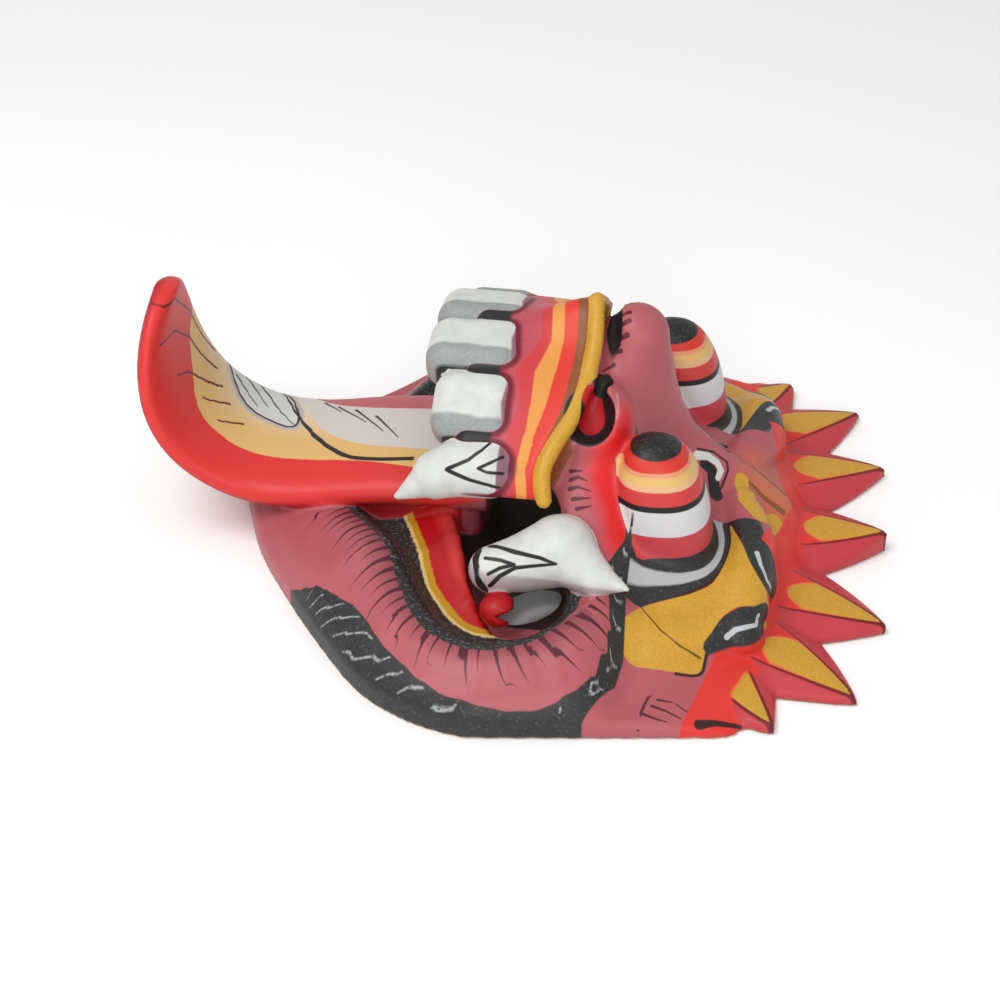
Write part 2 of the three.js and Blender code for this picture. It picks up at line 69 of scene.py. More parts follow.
# a point of the lower lip is x, y, height of the crest and width of the gum
LIP = [(-50, 0, 14, 34), (-44, 20, 16, 32), (-35, 34, 20, 28), (-25, 48, 23, 22),
       (-17, 62, 19.5, 18), (-8, 74, 17, 16), (5, 82, 17, 11), (20, 81, 19, 7),
       (32, 73, 23, 6), (38, 64, 27, 6)]
UPPER_EDGE = [(29, 0, 82.5), (30, 10, 75.5), (29, 20, 68), (26.5, 31, 62), (22, 40, 56.5),
              (19.5, 46, 51.5), (20.5, 51, 45)]
EDGE_RADIUS = 2.3
GROOVE_RADIUS = 2.6
# the tongue's path is x and z on the middle plane
TONGUE = [(0, 24), (-20, 24), (-40, 22), (-60, 18.8), (-75, 19.2), (-87.5, 24), (-97, 32),
          (-103, 43), (-105.3, 55), (-105, 66), (-103, 76)]
TONGUE_HALF_WIDTH = 27.5
TONGUE_TAPER = 46.0
TONGUE_THICK = (7.5, 7, 6, 3.5)
TONGUE_ROOT = {"half": 23, "top": 21, "front": -49, "back": -3}
BROW = [(76, 13, 20, 7), (80, 28, 17, 8), (79, 44, 15, 8.5), (76, 54, 9, 9.5),
        (66, 62, 6, 10.5), (54, 66, 6, 11.5), (41, 68, 6, 10)]
TUSK = [(7, 59.5, 25, 7), (16, 57.5, 27, 8.6), (26, 55.5, 31, 10.6), (37, 62.5, 28, 5.6),
        (47, 68.5, 29.5, 0.6)]
FANG = [(3.5, 42, 48, 8.6), (-5, 42, 47.6, 8.6), (-12, 43, 45, 7.2), (-23.5, 46, 38, 1)]
NOSE = [(41.3, 0, 71.6, 9.7), (41.8, 0, 60, 9.8), (46, 0, 50, 8), (56, 0, 31, 8), (70, 0, 17, 9)]
ORNAMENT = [(60, 0, 28, 8), (73, 0, 15, 11), (83, 0, 7.5, 10)]
# a flame is root x and y, tip x and y, half width, height of its ridge and height of its tip
FLAMES = [(70, 64, 91, 90.5, 22, 5.5, 3.2), (86, 56, 114, 74.5, 20, 6, 3),
          (92, 32, 122.5, 41, 22, 6.5, 3.8), (96, 0, 122.5, 0, 20, 6.8, 8)]
FLAME_BULGE = 0.35
RIM_FLAME = 80.0                            # a flame with its tip past this y stops at the rim
ARCH_BASE, ARCH_HALF, ARCH_RISE, ARCH_POWER, PALATE = 14.0, 63.0, 60.5, 1.8, 15.0
# a tooth is its place across the arch, tilt in degrees, front, root and half width
TEETH = [(11, -9, -20, 9, 10.9), (31.5, -32, -15.5, 9, 11)]
TOOTH_DEPTH, TOOTH_PROUD, TOOTH_ROUNDING = 8.0, 1.2, 6.5
EYE_CENTRE, EYE_HALF, EYE_POWER = (55, 34.5, 26), (14, 13.8, 31.5), 2.45
EYE_LEAN, EYE_RISE = (4.5, 1.5), 31.0       # it leans this far in x and y over its rise

# Rounded forms: centre, half sizes and, where it isn't 2, the power of the rounding.
SKULL = ((30, 0, -4), (68, 91, 35.5))
SKULL_FOOT = ((40, 0, -6), (58, 110, 15.5), 3)
NOSE_BRIDGE = ((37, 0, 53), (13.5, 22, 18))
NOSE_WING = ((32.2, 22.5, 54.8), (11.5, 13, 13.5))
OUTER_BOSS = ((77.5, 57.5, 8), (9, 8.5, 8.8))
INNER_BOSS = ((83.5, 36, 12.5), (5.8, 10.5, 8.5))
ROUND_FORMS = {
    "mound": ((31, 0, 0), (33, 62, 60)),
    "socket": ((58, 38, 4), (25, 25, 20)),
    "nostril": ((30.9, 31, 62), (7, 8.5, 8.6)),
    "knob": ((10, 68.5, 17.5), (5.5, 5.5, 5)),
}
MOUTH = ((5, 0, 26), (32, 62, 20), 2.4)
BACK_HOLLOW = ((30, 0, -4), (57, 84, 27))
NOSE_HOLLOW = ((52, 0, 0), (12, 22, 33))
# The opening at each corner of the mouth: centre, half sizes, turn in degrees, how far it moves
# out in y for each step up in z, and the height where it ends.
HOLE = {"x": 16.5, "y": 54.5, "z": 9.0, "long": 11.5, "short": 7.5, "turn": 46.0, "slant": 1.0,
        "top": 19.0}


# Blending. Forms are distances, negative inside; k is how wide the rounding between two is.
def ease(t):
    """Smooth step from 0 to 1."""
    t = np.clip(t, 0, 1)
    return t * t * (3 - 2 * t)


def join(a, b, k):
    """Both forms."""
    h = np.maximum(k - np.abs(a - b), 0) / k
    return np.minimum(a, b) - h * h * k * 0.25


def keep(a, b, k):
    """What the two forms share."""
    return -join(-a, -b, k)


def cut(a, b, k):
    """The first form without the second."""
    return keep(a, -b, k)


# forms
def ellipsoid(x, y, z, centre, half, power=2.0):
    ax = np.abs(x - centre[0]) / half[0]
    ay = np.abs(y - centre[1]) / half[1]
    az = np.abs(z - centre[2]) / half[2]
    total = ax ** power + ay ** power + az ** power + 1e-9
    size = total ** (1 / power)
    slope = size / total * np.sqrt((ax ** (power - 1) / half[0]) ** 2
                                   + (ay ** (power - 1) / half[1]) ** 2
                                   + (az ** (power - 1) / half[2]) ** 2) + 1e-9
    return np.where(size > 0.15, (size - 1) / slope, -0.8 * min(half))


def oval(u, v, half_u, half_v, power):
    """Rounded outline in a plane."""
    au, av = np.abs(u) / half_u, np.abs(v) / half_v
    total = au ** power + av ** power + 1e-9
    size = total ** (1 / power)
    slope = size / total * np.sqrt((au ** (power - 1) / half_u) ** 2
                                   + (av ** (power - 1) / half_v) ** 2) + 1e-9
    return np.where(size > 0.15, (size - 1) / slope, -0.85 * np.minimum(half_u, half_v))


def chain(x, y, z, points, k=0.0):
    """Rounded cones from point to point; a point is x, y, z and radius."""
    d = None
    for a, b in zip(points[:-1], points[1:]):
        bx, by, bz = b[0] - a[0], b[1] - a[1], b[2] - a[2]
        px, py, pz = x - a[0], y - a[1], z - a[2]
        t = np.clip((px * bx + py * by + pz * bz) / (bx * bx + by * by + bz * bz), 0, 1)
        e = np.sqrt((px - t * bx) ** 2 + (py - t * by) ** 2 + (pz - t * bz) ** 2)
        e = e - (a[3] + (b[3] - a[3]) * t)
        d = e if d is None else (join(d, e, k) if k else np.minimum(d, e))
    return d


def block(x, y, z, half, r):
    """Box with its edges rounded to r."""
    qx, qy, qz = np.abs(x) - half[0] + r, np.abs(y) - half[1] + r, np.abs(z) - half[2] + r
    outside = np.sqrt(np.maximum(qx, 0) ** 2 + np.maximum(qy, 0) ** 2 + np.maximum(qz, 0) ** 2)
    return outside + np.minimum(np.maximum(qx, np.maximum(qy, qz)), 0) - r


# curves
def smoothed(points, steps):
    """Curve through the points, with this many steps between two of them."""
    p = np.array(points, float)
    q = np.vstack([2 * p[0] - p[1], p, 2 * p[-1] - p[-2]])
    out = []
    for i in range(1, len(q) - 2):
        for j in range(steps):
            t = j / steps
            out.append(0.5 * (2 * q[i] + (q[i + 1] - q[i - 1]) * t
                              + (2 * q[i - 1] - 5 * q[i] + 4 * q[i + 1] - q[i + 2]) * t * t
                              + (3 * q[i] - q[i - 1] - 3 * q[i + 1] + q[i + 2]) * t ** 3))
    out.append(p[-1])
    return np.array(out)


def nearest(u, v, line):
    """Nearest place on a plane curve: length along it, distance (positive on the left)."""
    best = along = off = None
    start = 0.0
    for i in range(len(line) - 1):
        a, b = line[i], line[i + 1]
        bu, bv = b[0] - a[0], b[1] - a[1]
        length = math.hypot(bu, bv)
        t = ((u - a[0]) * bu + (v - a[1]) * bv) / length ** 2
        t = np.clip(t, -FAR if i == 0 else 0, FAR if i == len(line) - 2 else 1)
        eu, ev = u - a[0] - t * bu, v - a[1] - t * bv
        d = np.sqrt(eu * eu + ev * ev)
        side = np.where(bu * ev - bv * eu > 0, d, -d)
        if best is None:
            best, along, off = d, start + t * length, side
        else:
            closer = d < best
            best = np.where(closer, d, best)
            along = np.where(closer, start + t * length, along)
            off = np.where(closer, side, off)
        start += length
    return along, off, start


RIM_LINE = smoothed(RIM, 3)
LIP_LINE = smoothed([p[:2] for p in LIP], 3)
LIP_MARKS = np.concatenate([[0], np.cumsum(np.hypot(*np.diff(LIP_LINE, axis=0).T))])[::3]
EDGE_LINE = smoothed([(*p, EDGE_RADIUS) for p in UPPER_EDGE], 3)
GROOVE_LINE = smoothed([(p[0] + 4, p[1], p[2] - 1, GROOVE_RADIUS) for p in UPPER_EDGE[:-1]], 2)
TONGUE_LINE = smoothed(TONGUE, 3)
BROW_LINE = smoothed(BROW, 2)
CHAINS = {"edge": EDGE_LINE, "groove": GROOVE_LINE, "fang": FANG, "brow": BROW_LINE,
          "ornament": ORNAMENT, "tusk": TUSK}


# the mask's parts; y is the distance from the middle plane
def drawn_in(x, signed_y):
    """How much nearer the rim is on the side where y is above 0."""
    at_jaw = 9 * np.exp(-((x + 42) / 22) ** 2)
    at_temple = 6 * ease((x - 40) / 20) * (1 - ease((x - 74) / 8))
    return (3 + at_jaw + at_temple) * ease(signed_y / 6)


def lower_jaw(x, y, z, out, plus_side):
    """Jaw from the rim up to the lip's crest, and the gum inside it."""
    along, off, _ = nearest(x, y, LIP_LINE)
    crest = np.interp(along, LIP_MARKS, [p[2] for p in LIP])
    gum_width = np.interp(along, LIP_MARKS, [p[3] for p in LIP])
    t = np.clip(off / (off - np.minimum(out, -0.2) + 1e-6), 0, 1)
    flat = ease((-14 - x) / 26) * plus_side
    swell = 1.5 * (1 - flat) * np.sin(np.pi * np.clip(t * 1.6, 0, 1))
    skin = 5 + (crest - 5 + swell) * (1 - t ** (2.3 - 1.1 * flat)) ** (1 / (1.7 - 0.6 * flat))
    skin = skin - 4 * flat * t
    slope = crest - 1.5 - 5.5 * ease(-off / 7)
    gum = crest - 7 + 4 * ease((-off - 8) / np.maximum(gum_width - 5, 1))
    height = np.where(off > 0, skin, keep(slope, gum, 1.0))
    banked = keep((z - height) * 0.78, -off - gum_width, 2.5)
    return keep(join(banked, z - MOUTH_FLOOR, 2), x - 47, 16)


def upper_jaw(x, y, z):
    """Arch that carries the teeth, from the raised edge down to the gums."""
    rise = ease((x - 2) / 28)
    top = ARCH_RISE + (9.5 * np.exp(-(y / 9.0) ** 2) - 1.0) * rise
    arch = oval(y, z - ARCH_BASE, ARCH_HALF, top, ARCH_POWER)
    edge = np.interp(y, [p[1] for p in UPPER_EDGE], [p[0] for p in UPPER_EDGE])
    d = keep(arch, x - edge - 0.5, 3)
    d = keep(d, -7 - x, 4)
    d = keep(d, -(arch + PALATE), 5)
    return keep(keep(d, y - 50.5, 3), 43 - z, 3)


def tooth_frame(y, z, place, tilt):
    """Places across a tooth and out of the arch."""
    lean = math.radians(tilt)
    height = ARCH_BASE + ARCH_RISE * (1 - (place / ARCH_HALF) ** ARCH_POWER) ** (1 / ARCH_POWER)
    dy = y - place + (TOOTH_DEPTH - TOOTH_PROUD) * math.sin(-lean)
    dz = z - height + (TOOTH_DEPTH - TOOTH_PROUD) * math.cos(lean)
    return (math.cos(lean) * dy + math.sin(lean) * dz,
            -math.sin(lean) * dy + math.cos(lean) * dz)


def tooth(x, y, z, place, tilt, front, root, half):
    across, out = tooth_frame(y, z, place, tilt)
    size = ((root - front) / 2, half, TOOTH_DEPTH)
    return block(x - (front + root) / 2, across, out, size, TOOTH_ROUNDING)


def eye(x, y, z):
    t = (z - EYE_CENTRE[2]) / EYE_RISE
    return ellipsoid(x - EYE_CENTRE[0] + EYE_LEAN[0] * t, y - EYE_CENTRE[1] + EYE_LEAN[1] * t, z,
                     (0, 0, EYE_CENTRE[2]), EYE_HALF, EYE_POWER)


def leaf(x, y, root_x, root_y, tip_x, tip_y, width):
    """Share of a flame's length, place across, half width there, and distance to its outline."""
    length = math.hypot(tip_x - root_x, tip_y - root_y)
    dx, dy = (tip_x - root_x) / length, (tip_y - root_y) / length
    u = (x - root_x) * dx + (y - root_y) * dy
    v = np.abs(-(x - root_x) * dy + (y - root_y) * dx)
    t = u / length
    half = np.where(t > 0, (1 - t) * (1 + FLAME_BULGE * t), 1 - t * t) * width
    return t, v, half, (v - half) * length / math.hypot(length, width)


def flames(x, y, z, out):
    """Leaves with a roof that slopes to both sides of a flat ridge."""
    d = None
    for *plan, ridge, tip in FLAMES:
        t, v, half, edge = leaf(x, y, *plan)
        roof = z - (tip + (ridge - tip) * (1 - np.clip(t, 0, 1) ** 1.6))
        slope = (roof + 0.45 * (v - np.maximum(half, 0) * 0.4)) * 0.91
        flame = keep(edge, keep(roof, slope, 1), 1.5)
        if plan[3] > RIM_FLAME:
            flame = keep(flame, out, 1.5)
        d = flame if d is None else np.minimum(d, flame)
    return d


def tongue(x, y, z):
    along, off, total = nearest(x, z, TONGUE_LINE)
    taper = np.clip((along - total + TONGUE_TAPER) / TONGUE_TAPER, 0, 1)
    half = np.maximum(TONGUE_HALF_WIDTH * np.sqrt(np.maximum(1 - taper ** 2.4, 0)), 0.8)
    thick = np.interp(along, [0, total / 2, total - TONGUE_TAPER, total], TONGUE_THICK)
    section = np.clip(oval(y, off, half, thick, 2.5), -8, 60)
    return np.maximum(np.maximum(section, along - total), -along)


def parts(x, signed_y, z):
    """Distance to every part of the carving."""
    y = np.abs(signed_y)
    plus_side = ease(signed_y / 6)
    out = nearest(x, y + drawn_in(x, signed_y), RIM_LINE)[1]
    d = {"out": out}
    for name, form in ROUND_FORMS.items():
        d[name] = ellipsoid(x, y, z, *form)
    for name, points in CHAINS.items():
        d[name] = chain(x, y, z, points)
    d["skull"] = join(ellipsoid(x, y, z, *SKULL), ellipsoid(x, y, z, *SKULL_FOOT), 6)
    d["jaw"] = lower_jaw(x, y, z, out, plus_side)
    d["muzzle"] = upper_jaw(x, y, z)
    d["teeth"] = join(tooth(x, y, z, *TEETH[0]), tooth(x, y, z, *TEETH[1]), 0.8)
    d["nose"] = join(chain(x, y, z, NOSE, 3), ellipsoid(x, y, z, *NOSE_BRIDGE), 8)
    d["nose"] = join(d["nose"], ellipsoid(x, y, z, *NOSE_WING), 3)
    d["eye"] = eye(x, y, z)
    d["boss"] = join(ellipsoid(x, y, z, *OUTER_BOSS), ellipsoid(x, y, z, *INNER_BOSS), 1)
    d["flames"] = flames(x, y, z, out)
    d["tongue"] = tongue(x, y, z)
    d["root"] = keep(keep(y - TONGUE_ROOT["half"], z - TONGUE_ROOT["top"], 4),
                     keep(TONGUE_ROOT["front"] - x, x - TONGUE_ROOT["back"], 4), 4)
    return d


def corner_hole(x, y, z):
    turn = math.radians(HOLE["turn"])
    u, v = x - HOLE["x"], y - HOLE["y"] - (z - HOLE["z"]) * HOLE["slant"]
    along = math.cos(turn) * u - math.sin(turn) * v
    across = math.sin(turn) * u + math.cos(turn) * v
    size = np.sqrt((along / HOLE["long"]) ** 2 + (across / HOLE["short"]) ** 2 + 1e-6)
    return (size - 1) * HOLE["short"]


def uncut(x, signed_y, z):
    """The mask with its back not yet hollowed."""
    y = np.abs(signed_y)
    p = parts(x, signed_y, z)
    head = join(join(p["skull"], p["mound"], 10), p["socket"], 6)
    mouth = keep(ellipsoid(x, y, z, *MOUTH), MOUTH_FLOOR - z, 3)
    head = cut(head, mouth, 4)
    lip = nearest(x, y, LIP_LINE)[1]
    trough = keep(keep(-lip - 70, lip + 1.5, 2), keep(x - 30, MOUTH_FLOOR - z, 3), 4)
    head = cut(head, keep(trough, z - 31, 4), 3)
    d = keep(join(head, p["jaw"], 5), p["out"], 2)
    d = join(d, cut(p["nose"], p["nostril"], 2), 7)
    d = cut(d, p["groove"], 2)
    d = join(d, p["ornament"], 5)
    d = join(d, p["brow"], 2.5)
    d = np.minimum(d, p["boss"])
    d = join(d, p["flames"], 2)
    d = join(d, p["eye"], 2)
    d = join(d, join(p["muzzle"], p["edge"], 1.5), 3)
    d = join(d, p["teeth"], 1)
    d = join(d, p["fang"], 1)
    d = join(d, join(p["tongue"], p["root"], 1.5), 2)
    d = join(d, p["knob"], 1.5)
    d = cut(d, keep(corner_hole(x, y, z), z - HOLE["top"], 2), 1.5)
    d = join(d, p["tusk"], 1.2)
    return d


def hollow_back(x, y, z):
    """Hollow behind the brow, and the deeper one behind the nose."""
    hollow = keep(ellipsoid(x, y, z, *BACK_HOLLOW), 41 - x, 6)
    return join(hollow, ellipsoid(x, y, z, *NOSE_HOLLOW), 6)


def mask(x, signed_y, z):
    return np.maximum(cut(uncut(x, signed_y, z), hollow_back(x, np.abs(signed_y), z), 2), -z)


# tracing: one point per grid cell that the surface passes through
def in_slabs(x, y, z, size=400000):
    """The mask's distances, worked out for so many points at a time."""
    return np.concatenate([mask(x[i:i + size], y[i:i + size], z[i:i + size])
                           for i in range(0, len(x), size)])


def finer(grid):
    for axis in range(3):
        grid = grid.repeat(COARSE, axis)
    return grid


def grid_distances(low, counts, step):
    """Distances on the fine grid: exact near the surface, and from the rough grid elsewhere."""
    picks = [start + np.arange(n + 1) * step * COARSE for start, n in zip(low, counts)]
    rough = mask(*np.meshgrid(*picks, indexing="ij"))
    near = np.zeros(counts, bool)
    for i, j, k in np.ndindex(2, 2, 2):
        corner = rough[i:i + counts[0], j:j + counts[1], k:k + counts[2]]
        near |= np.abs(corner) < step * COARSE * 1.35
    near = finer(near)
    values = finer(rough[:-1, :-1, :-1])
    values[near] = in_slabs(*(low + np.argwhere(near) * step).T)
    return values


def crossings(values):
    """Per cell, the sum of the places where its edges cross the surface, and their number."""
    shape = values.shape
    total = np.zeros([n - 1 for n in shape] + [3], np.float32)
    hits = np.zeros([n - 1 for n in shape], np.float32)
    for axis in range(3):
        a = [slice(None)] * 3
        b = [slice(None)] * 3
        a[axis], b[axis] = slice(0, -1), slice(1, None)
        va, vb = values[tuple(a)], values[tuple(b)]
        cross = (va < 0) != (vb < 0)
        share = np.where(cross, va / np.where(cross, va - vb, 1), 0)
        others = [k for k in range(3) if k != axis]
        for shifts in np.ndindex(2, 2):
            pick = [slice(None)] * 3
            for k, shift in zip(others, shifts):
                pick[k] = slice(shift, shift + shape[k] - 1)
            here = cross[tuple(pick)]
            hits += here
            total[..., axis] += np.where(here, share[tuple(pick)], 0)
            for k, shift in zip(others, shifts):
                total[..., k] += np.where(here, shift, 0)
    return total, hits


def faces(inside, numbers):
    """A quad around each grid edge that crosses the surface."""
    shape = inside.shape
    quads = []
    for axis in range(3):
        a = [slice(1, n - 1) for n in shape]
        b = [slice(1, n - 1) for n in shape]
        a[axis], b[axis] = slice(0, shape[axis] - 1), slice(1, shape[axis])
        ia, ib = inside[tuple(a)], inside[tuple(b)]
        u, v = (axis + 1) % 3, (axis + 2) % 3
        for flip in (False, True):
            at = np.argwhere((~ia & ib) if flip else (ia & ~ib))
            base = at + 1
            base[:, axis] = at[:, axis]
            ring = []
            for du, dv in ((-1, -1), (0, -1), (0, 0), (-1, 0)):
                cell = base.copy()
                cell[:, u] += du
                cell[:, v] += dv
                ring.append(numbers[tuple(cell.T)])
            ring = np.stack(ring, 1)
            quads.append(ring[:, ::-1] if flip else ring)
    return np.concatenate(quads)


def pulled(places, probe=0.05, longest=0.6):
    """The points moved onto the surface itself; those on the flat back stay there."""
    for _ in range(2):
        value = in_slabs(*places.T)
        ahead = [in_slabs(*(places + shift).T) - value for shift in np.eye(3) * probe]
        grad = np.stack(ahead, 1) / probe
        size = np.maximum((grad ** 2).sum(1), 0.25)
        move = np.clip(value / size, -longest, longest)[:, None] * grad
        flat = places[:, 2] < 0.02
        places = places - np.where(flat[:, None], 0, move)
    places[:, 2] = np.maximum(places[:, 2], 0)
    return places


def trace(step):
    """Closed mesh of the carving: points and quads, in the drawing's millimetres."""
    low = np.array(LOW_CORNER) - (0, 0, 1.5 * step)
    counts = [math.ceil((high - start) / (step * COARSE)) for high, start in zip(HIGH_CORNER, low)]
    values = grid_distances(low, counts, step)
    total, hits = crossings(values)
    active = hits > 0
    numbers = np.full(active.shape, -1, np.int64)
    numbers[active] = np.arange(active.sum())
    places = low + (np.argwhere(active) + total[active] / hits[active][:, None]) * step
    return pulled(places), faces(values < 0, numbers)


def linked(name, data):
    """A new object in the scene."""
    made = bpy.data.objects.new(name, data)
    bpy.context.collection.objects.link(made)
    return made


places, quads = trace(STEP)
middle = (places[:, 0].min() + places[:, 0].max()) / 2
solid_middle = (cad_low[0] + cad_high[0]) / 2
shift = np.array([solid_middle / MM - middle, 0, 0])

mesh = bpy.data.meshes.new("mask_skin")
mesh.from_pydata(((places + shift) * MM).tolist(), [], quads.tolist())
mesh.validate()
carving = linked("mask_carving", mesh)
thinner = carving.modifiers.new("thin", "DECIMATE")
thinner.decimate_type = "COLLAPSE"
thinner.ratio = min(1.0, TRIANGLES / (2 * len(quads)))
bpy.context.view_layer.objects.active = carving
carving.select_set(True)
bpy.ops.object.modifier_apply(modifier="thin")
mesh = carving.data
mesh.shade_smooth()

# places on the carving, kept per point for the paint
spots = np.empty(len(mesh.vertices) * 3)
mesh.vertices.foreach_get("co", spots)
spots = spots.reshape(-1, 3) / MM - shift
x, signed_y, z = spots.T
y = np.abs(signed_y)
field = parts(x, signed_y, z)


def attribute(name, *columns):
    """Up to three values per point, kept as a vector."""
    vectors = np.zeros((len(x), 3), np.float32)
    for k, column in enumerate(columns):
        vectors[:, k] = column
    mesh.attributes.new(name, "FLOAT_VECTOR", "POINT").data.foreach_set("vector", vectors.ravel())


def outline(u, v, points):
    """Distance to a closed rounded outline, negative inside."""
    line = smoothed(points[-1:] + points + points[:2], 3)[3:-3]
    best, odd = np.full(np.shape(u), FAR), np.zeros(np.shape(u), bool)
    for a, b in zip(line[:-1], line[1:]):
        e = b - a
        t = np.clip(((u - a[0]) * e[0] + (v - a[1]) * e[1]) / (e @ e), 0, 1)
        best = np.minimum(best, np.hypot(u - a[0] - t * e[0], v - a[1] - t * e[1]))
        rise = e[1] if abs(e[1]) > 1e-9 else 1e-9
        odd ^= ((a[1] > v) != (b[1] > v)) & (u < a[0] + (v - a[1]) * e[0] / rise)
    return np.where(odd, -best, best)


def stack(value, *edges):
    """0 at the first edge, 1 at the second and so on, and straight lines between them."""
    out = value - edges[0]
    for k in range(len(edges) - 1):
        width = np.maximum(edges[k + 1] - edges[k], 1e-3)
        out = np.where(value > edges[k], k + (value - edges[k]) / width, out)
    return np.where(value > edges[-1], len(edges) - 1 + value - edges[-1], out)


def ramp(t, *pairs):
    """Straight lines through pairs of place and value."""
    return np.interp(t, [p[0] for p in pairs], [p[1] for p in pairs])


# How far a point is inside one painted part, against the nearest other part.
GROUPS = {name: (name,) for name in ("muzzle", "edge", "teeth", "fang", "tusk", "eye", "nose",
                                     "brow", "boss", "flames", "jaw", "knob")}
GROUPS["tongue"] = ("tongue", "root")
GROUPS["face"] = ("skull", "mound", "socket", "ornament")
reach = np.stack([np.minimum.reduce([field[k] for k in group]) for group in GROUPS.values()])
ordered = np.sort(reach, 0)
lead = {}
for group, distance in zip(GROUPS, reach):
    lead[group] = distance - np.where(distance <= ordered[0], ordered[1], ordered[0])

attribute("spot", x, signed_y, z)
attribute("parts_a", lead["tongue"], lead["muzzle"], lead["edge"])
attribute("parts_b", lead["teeth"], lead["fang"], lead["tusk"])
attribute("parts_c", lead["eye"], lead["jaw"], lead["flames"])
attribute("parts_d", lead["knob"])

# tongue: its painted borders, by length along it and place across
TONGUE_CREAM = [(134, 26), (128.7, 19.3), (125, 10.1), (114.5, 1.4), (107.5, -6.3), (100.4, -10.4),
                (92.1, -11.9), (82.8, -13.3), (62.4, -13.9), (43.8, -15.5), (20, -19.5)]
TONGUE_LEAF = [(98.5, 22), (91.6, 11.8), (85, 7.1), (77.7, 5.2), (68, 3.5), (69.5, 13.4), (80, 29),
               (92, 34), (99, 30)]
TONGUE_CURVE = [(90, 40), (79, 27), (71.1, 14.6), (63.4, 4), (56.3, -4.1), (50, -10),
                (44.1, -14), (34.4, -15.5), (20, -15)]
TONGUE_GRAY = [(77, 31), (70.1, 21.4), (63.9, 11.5), (57.2, 2.8), (49.4, -3.7), (39, -8.4),
               (20, -10.8)]
TONGUE_PINK = [(80, 36), (63.5, 23.1), (52.6, 17), (35.9, 13), (10, 12.5)]
along, off, _ = nearest(x, z, TONGUE_LINE)
cream_edge, curve, gray_edge, pink_edge = (
    nearest(along, signed_y, smoothed(points, 3))[1]
    for points in (TONGUE_CREAM, TONGUE_CURVE, TONGUE_GRAY, TONGUE_PINK))
attribute("tongue", along, signed_y, off)
attribute("tongue_a", cream_edge, outline(along, signed_y, TONGUE_LEAF), curve)
attribute("tongue_b", gray_edge, pink_edge)

# lower jaw: place along the lip, distance from it, and its painted bands from the gum outwards
lip_along, lip_off, _ = nearest(x, y, LIP_LINE)
cream = ramp(lip_along, (20, -15), (38, -12.7), (53, -8.8), (60, -7.1), (68, -6.2), (80, -7),
             (92, -7.8), (99, -8.9), (113, -10), (122, -16))
gold_width = ramp(lip_along, (30, 2.4), (60, 2.8), (80, 3), (105, 2.2), (118, 0.6))
gum = ramp(lip_along, (30, -31), (44, -27.6), (56, -21), (80, -18), (105, -16), (125, -24))
lip_end = ramp(lip_along, (30, 3.6), (60, 2.8), (75, 4.5), (90, 6.6), (107, 6), (126, 2), (142, -4))
gold_edge = cream - gold_width
attribute("lip", lip_along, lip_off,
          stack(lip_off, gum, gold_edge - 5.5, gold_edge, cream, lip_end))

# beard: how far a point is past its upper edge on the jaw
beard = lip_off - ramp(lip_along, (34, 38), (41, 29.5), (48, 27.5), (63, 21.5), (71, 17.4),
                       (78, 16.2), (91, 17), (101, 18.8), (111, 19.6), (119, 20.4), (126, 18.8),
                       (131, 14.5), (137, 8), (143, 3.2), (150, -3))
beard = np.minimum(beard, ramp(y, (60, 46), (80, 47.5), (88, 46), (96, 41), (103, 36)) - x)
attribute("beard", beard, field["out"], field["eye"])

# upper lip: bands from the raised edge to the teeth
to_edge = ramp(y, *[(p[1], p[0]) for p in UPPER_EDGE]) - x
upper = stack(to_edge, 1.6,
              ramp(y, (0, 5.4), (11, 5.4), (21, 4.8), (31.5, 3.4), (44, 1.8)),
              ramp(y, (0, 9.5), (21, 9.3), (31.5, 8.4), (38, 7.2), (44, 5.4), (50, 5)),
              ramp(y, (0, 13), (11, 13.1), (21, 15.2), (31.5, 12.8), (38, 9.6), (44, 8.6), (50, 8)),
              ramp(y, (0, 16), (11, 16.2), (21, 21), (31.5, 15.4), (38, 15), (44, 10.9), (50, 10)))
attribute("upper", upper, field["groove"], field["nostril"])

# teeth: place across the nearest tooth, from -1 to 1 and positive on its side towards the camera, where
# the painted shadow band goes; distance to the row and to the fang
first, second = (tooth(x, y, z, *t) for t in TEETH)
across = np.where(first < second, tooth_frame(y, z, *TEETH[0][:2])[0] / TEETH[0][4],
                  tooth_frame(y, z, *TEETH[1][:2])[0] / TEETH[1][4])
attribute("tooth", across * -np.sign(signed_y), field["teeth"], field["fang"])

# brow in plan, the rings between it and the eye, and the bosses
BROW_GOLD = [(73.7, 25), (78.1, 36), (81.5, 44), (86.5, 49.2), (88, 52), (82.7, 55.6), (77.6, 57.5),
             (74.2, 60.8), (71.5, 65.7), (69.9, 71), (68.6, 75.6), (62, 77.2), (55.6, 78.4),
             (49.9, 79), (46.6, 77.2), (45.4, 71.5), (48.4, 65.5), (53.5, 61.2), (60, 57.8),
             (65.5, 54.2), (70.3, 49.4), (73.6, 40.8), (74.4, 32)]
gold = outline(x, y, BROW_GOLD)
ring = field["eye"] / (field["eye"] + np.maximum(gold, 0) + 1e-3)
BOSS_A = [(69.3, 70), (71.4, 65.7), (74.4, 60.5), (78.7, 57.1), (83.2, 54.9), (87.4, 50),
          (88.6, 55), (86, 62.5), (80.5, 67.5), (74.7, 70.5)]
BOSS_B = [(77.5, 32.1), (78.7, 38.1), (80.8, 43.6), (83.8, 47.6), (87.5, 48), (89.3, 43.5),
          (88.6, 38), (86, 33.5), (81, 31)]
attribute("brow", gold, ring, np.minimum(outline(x, y, BOSS_A), outline(x, y, BOSS_B)))

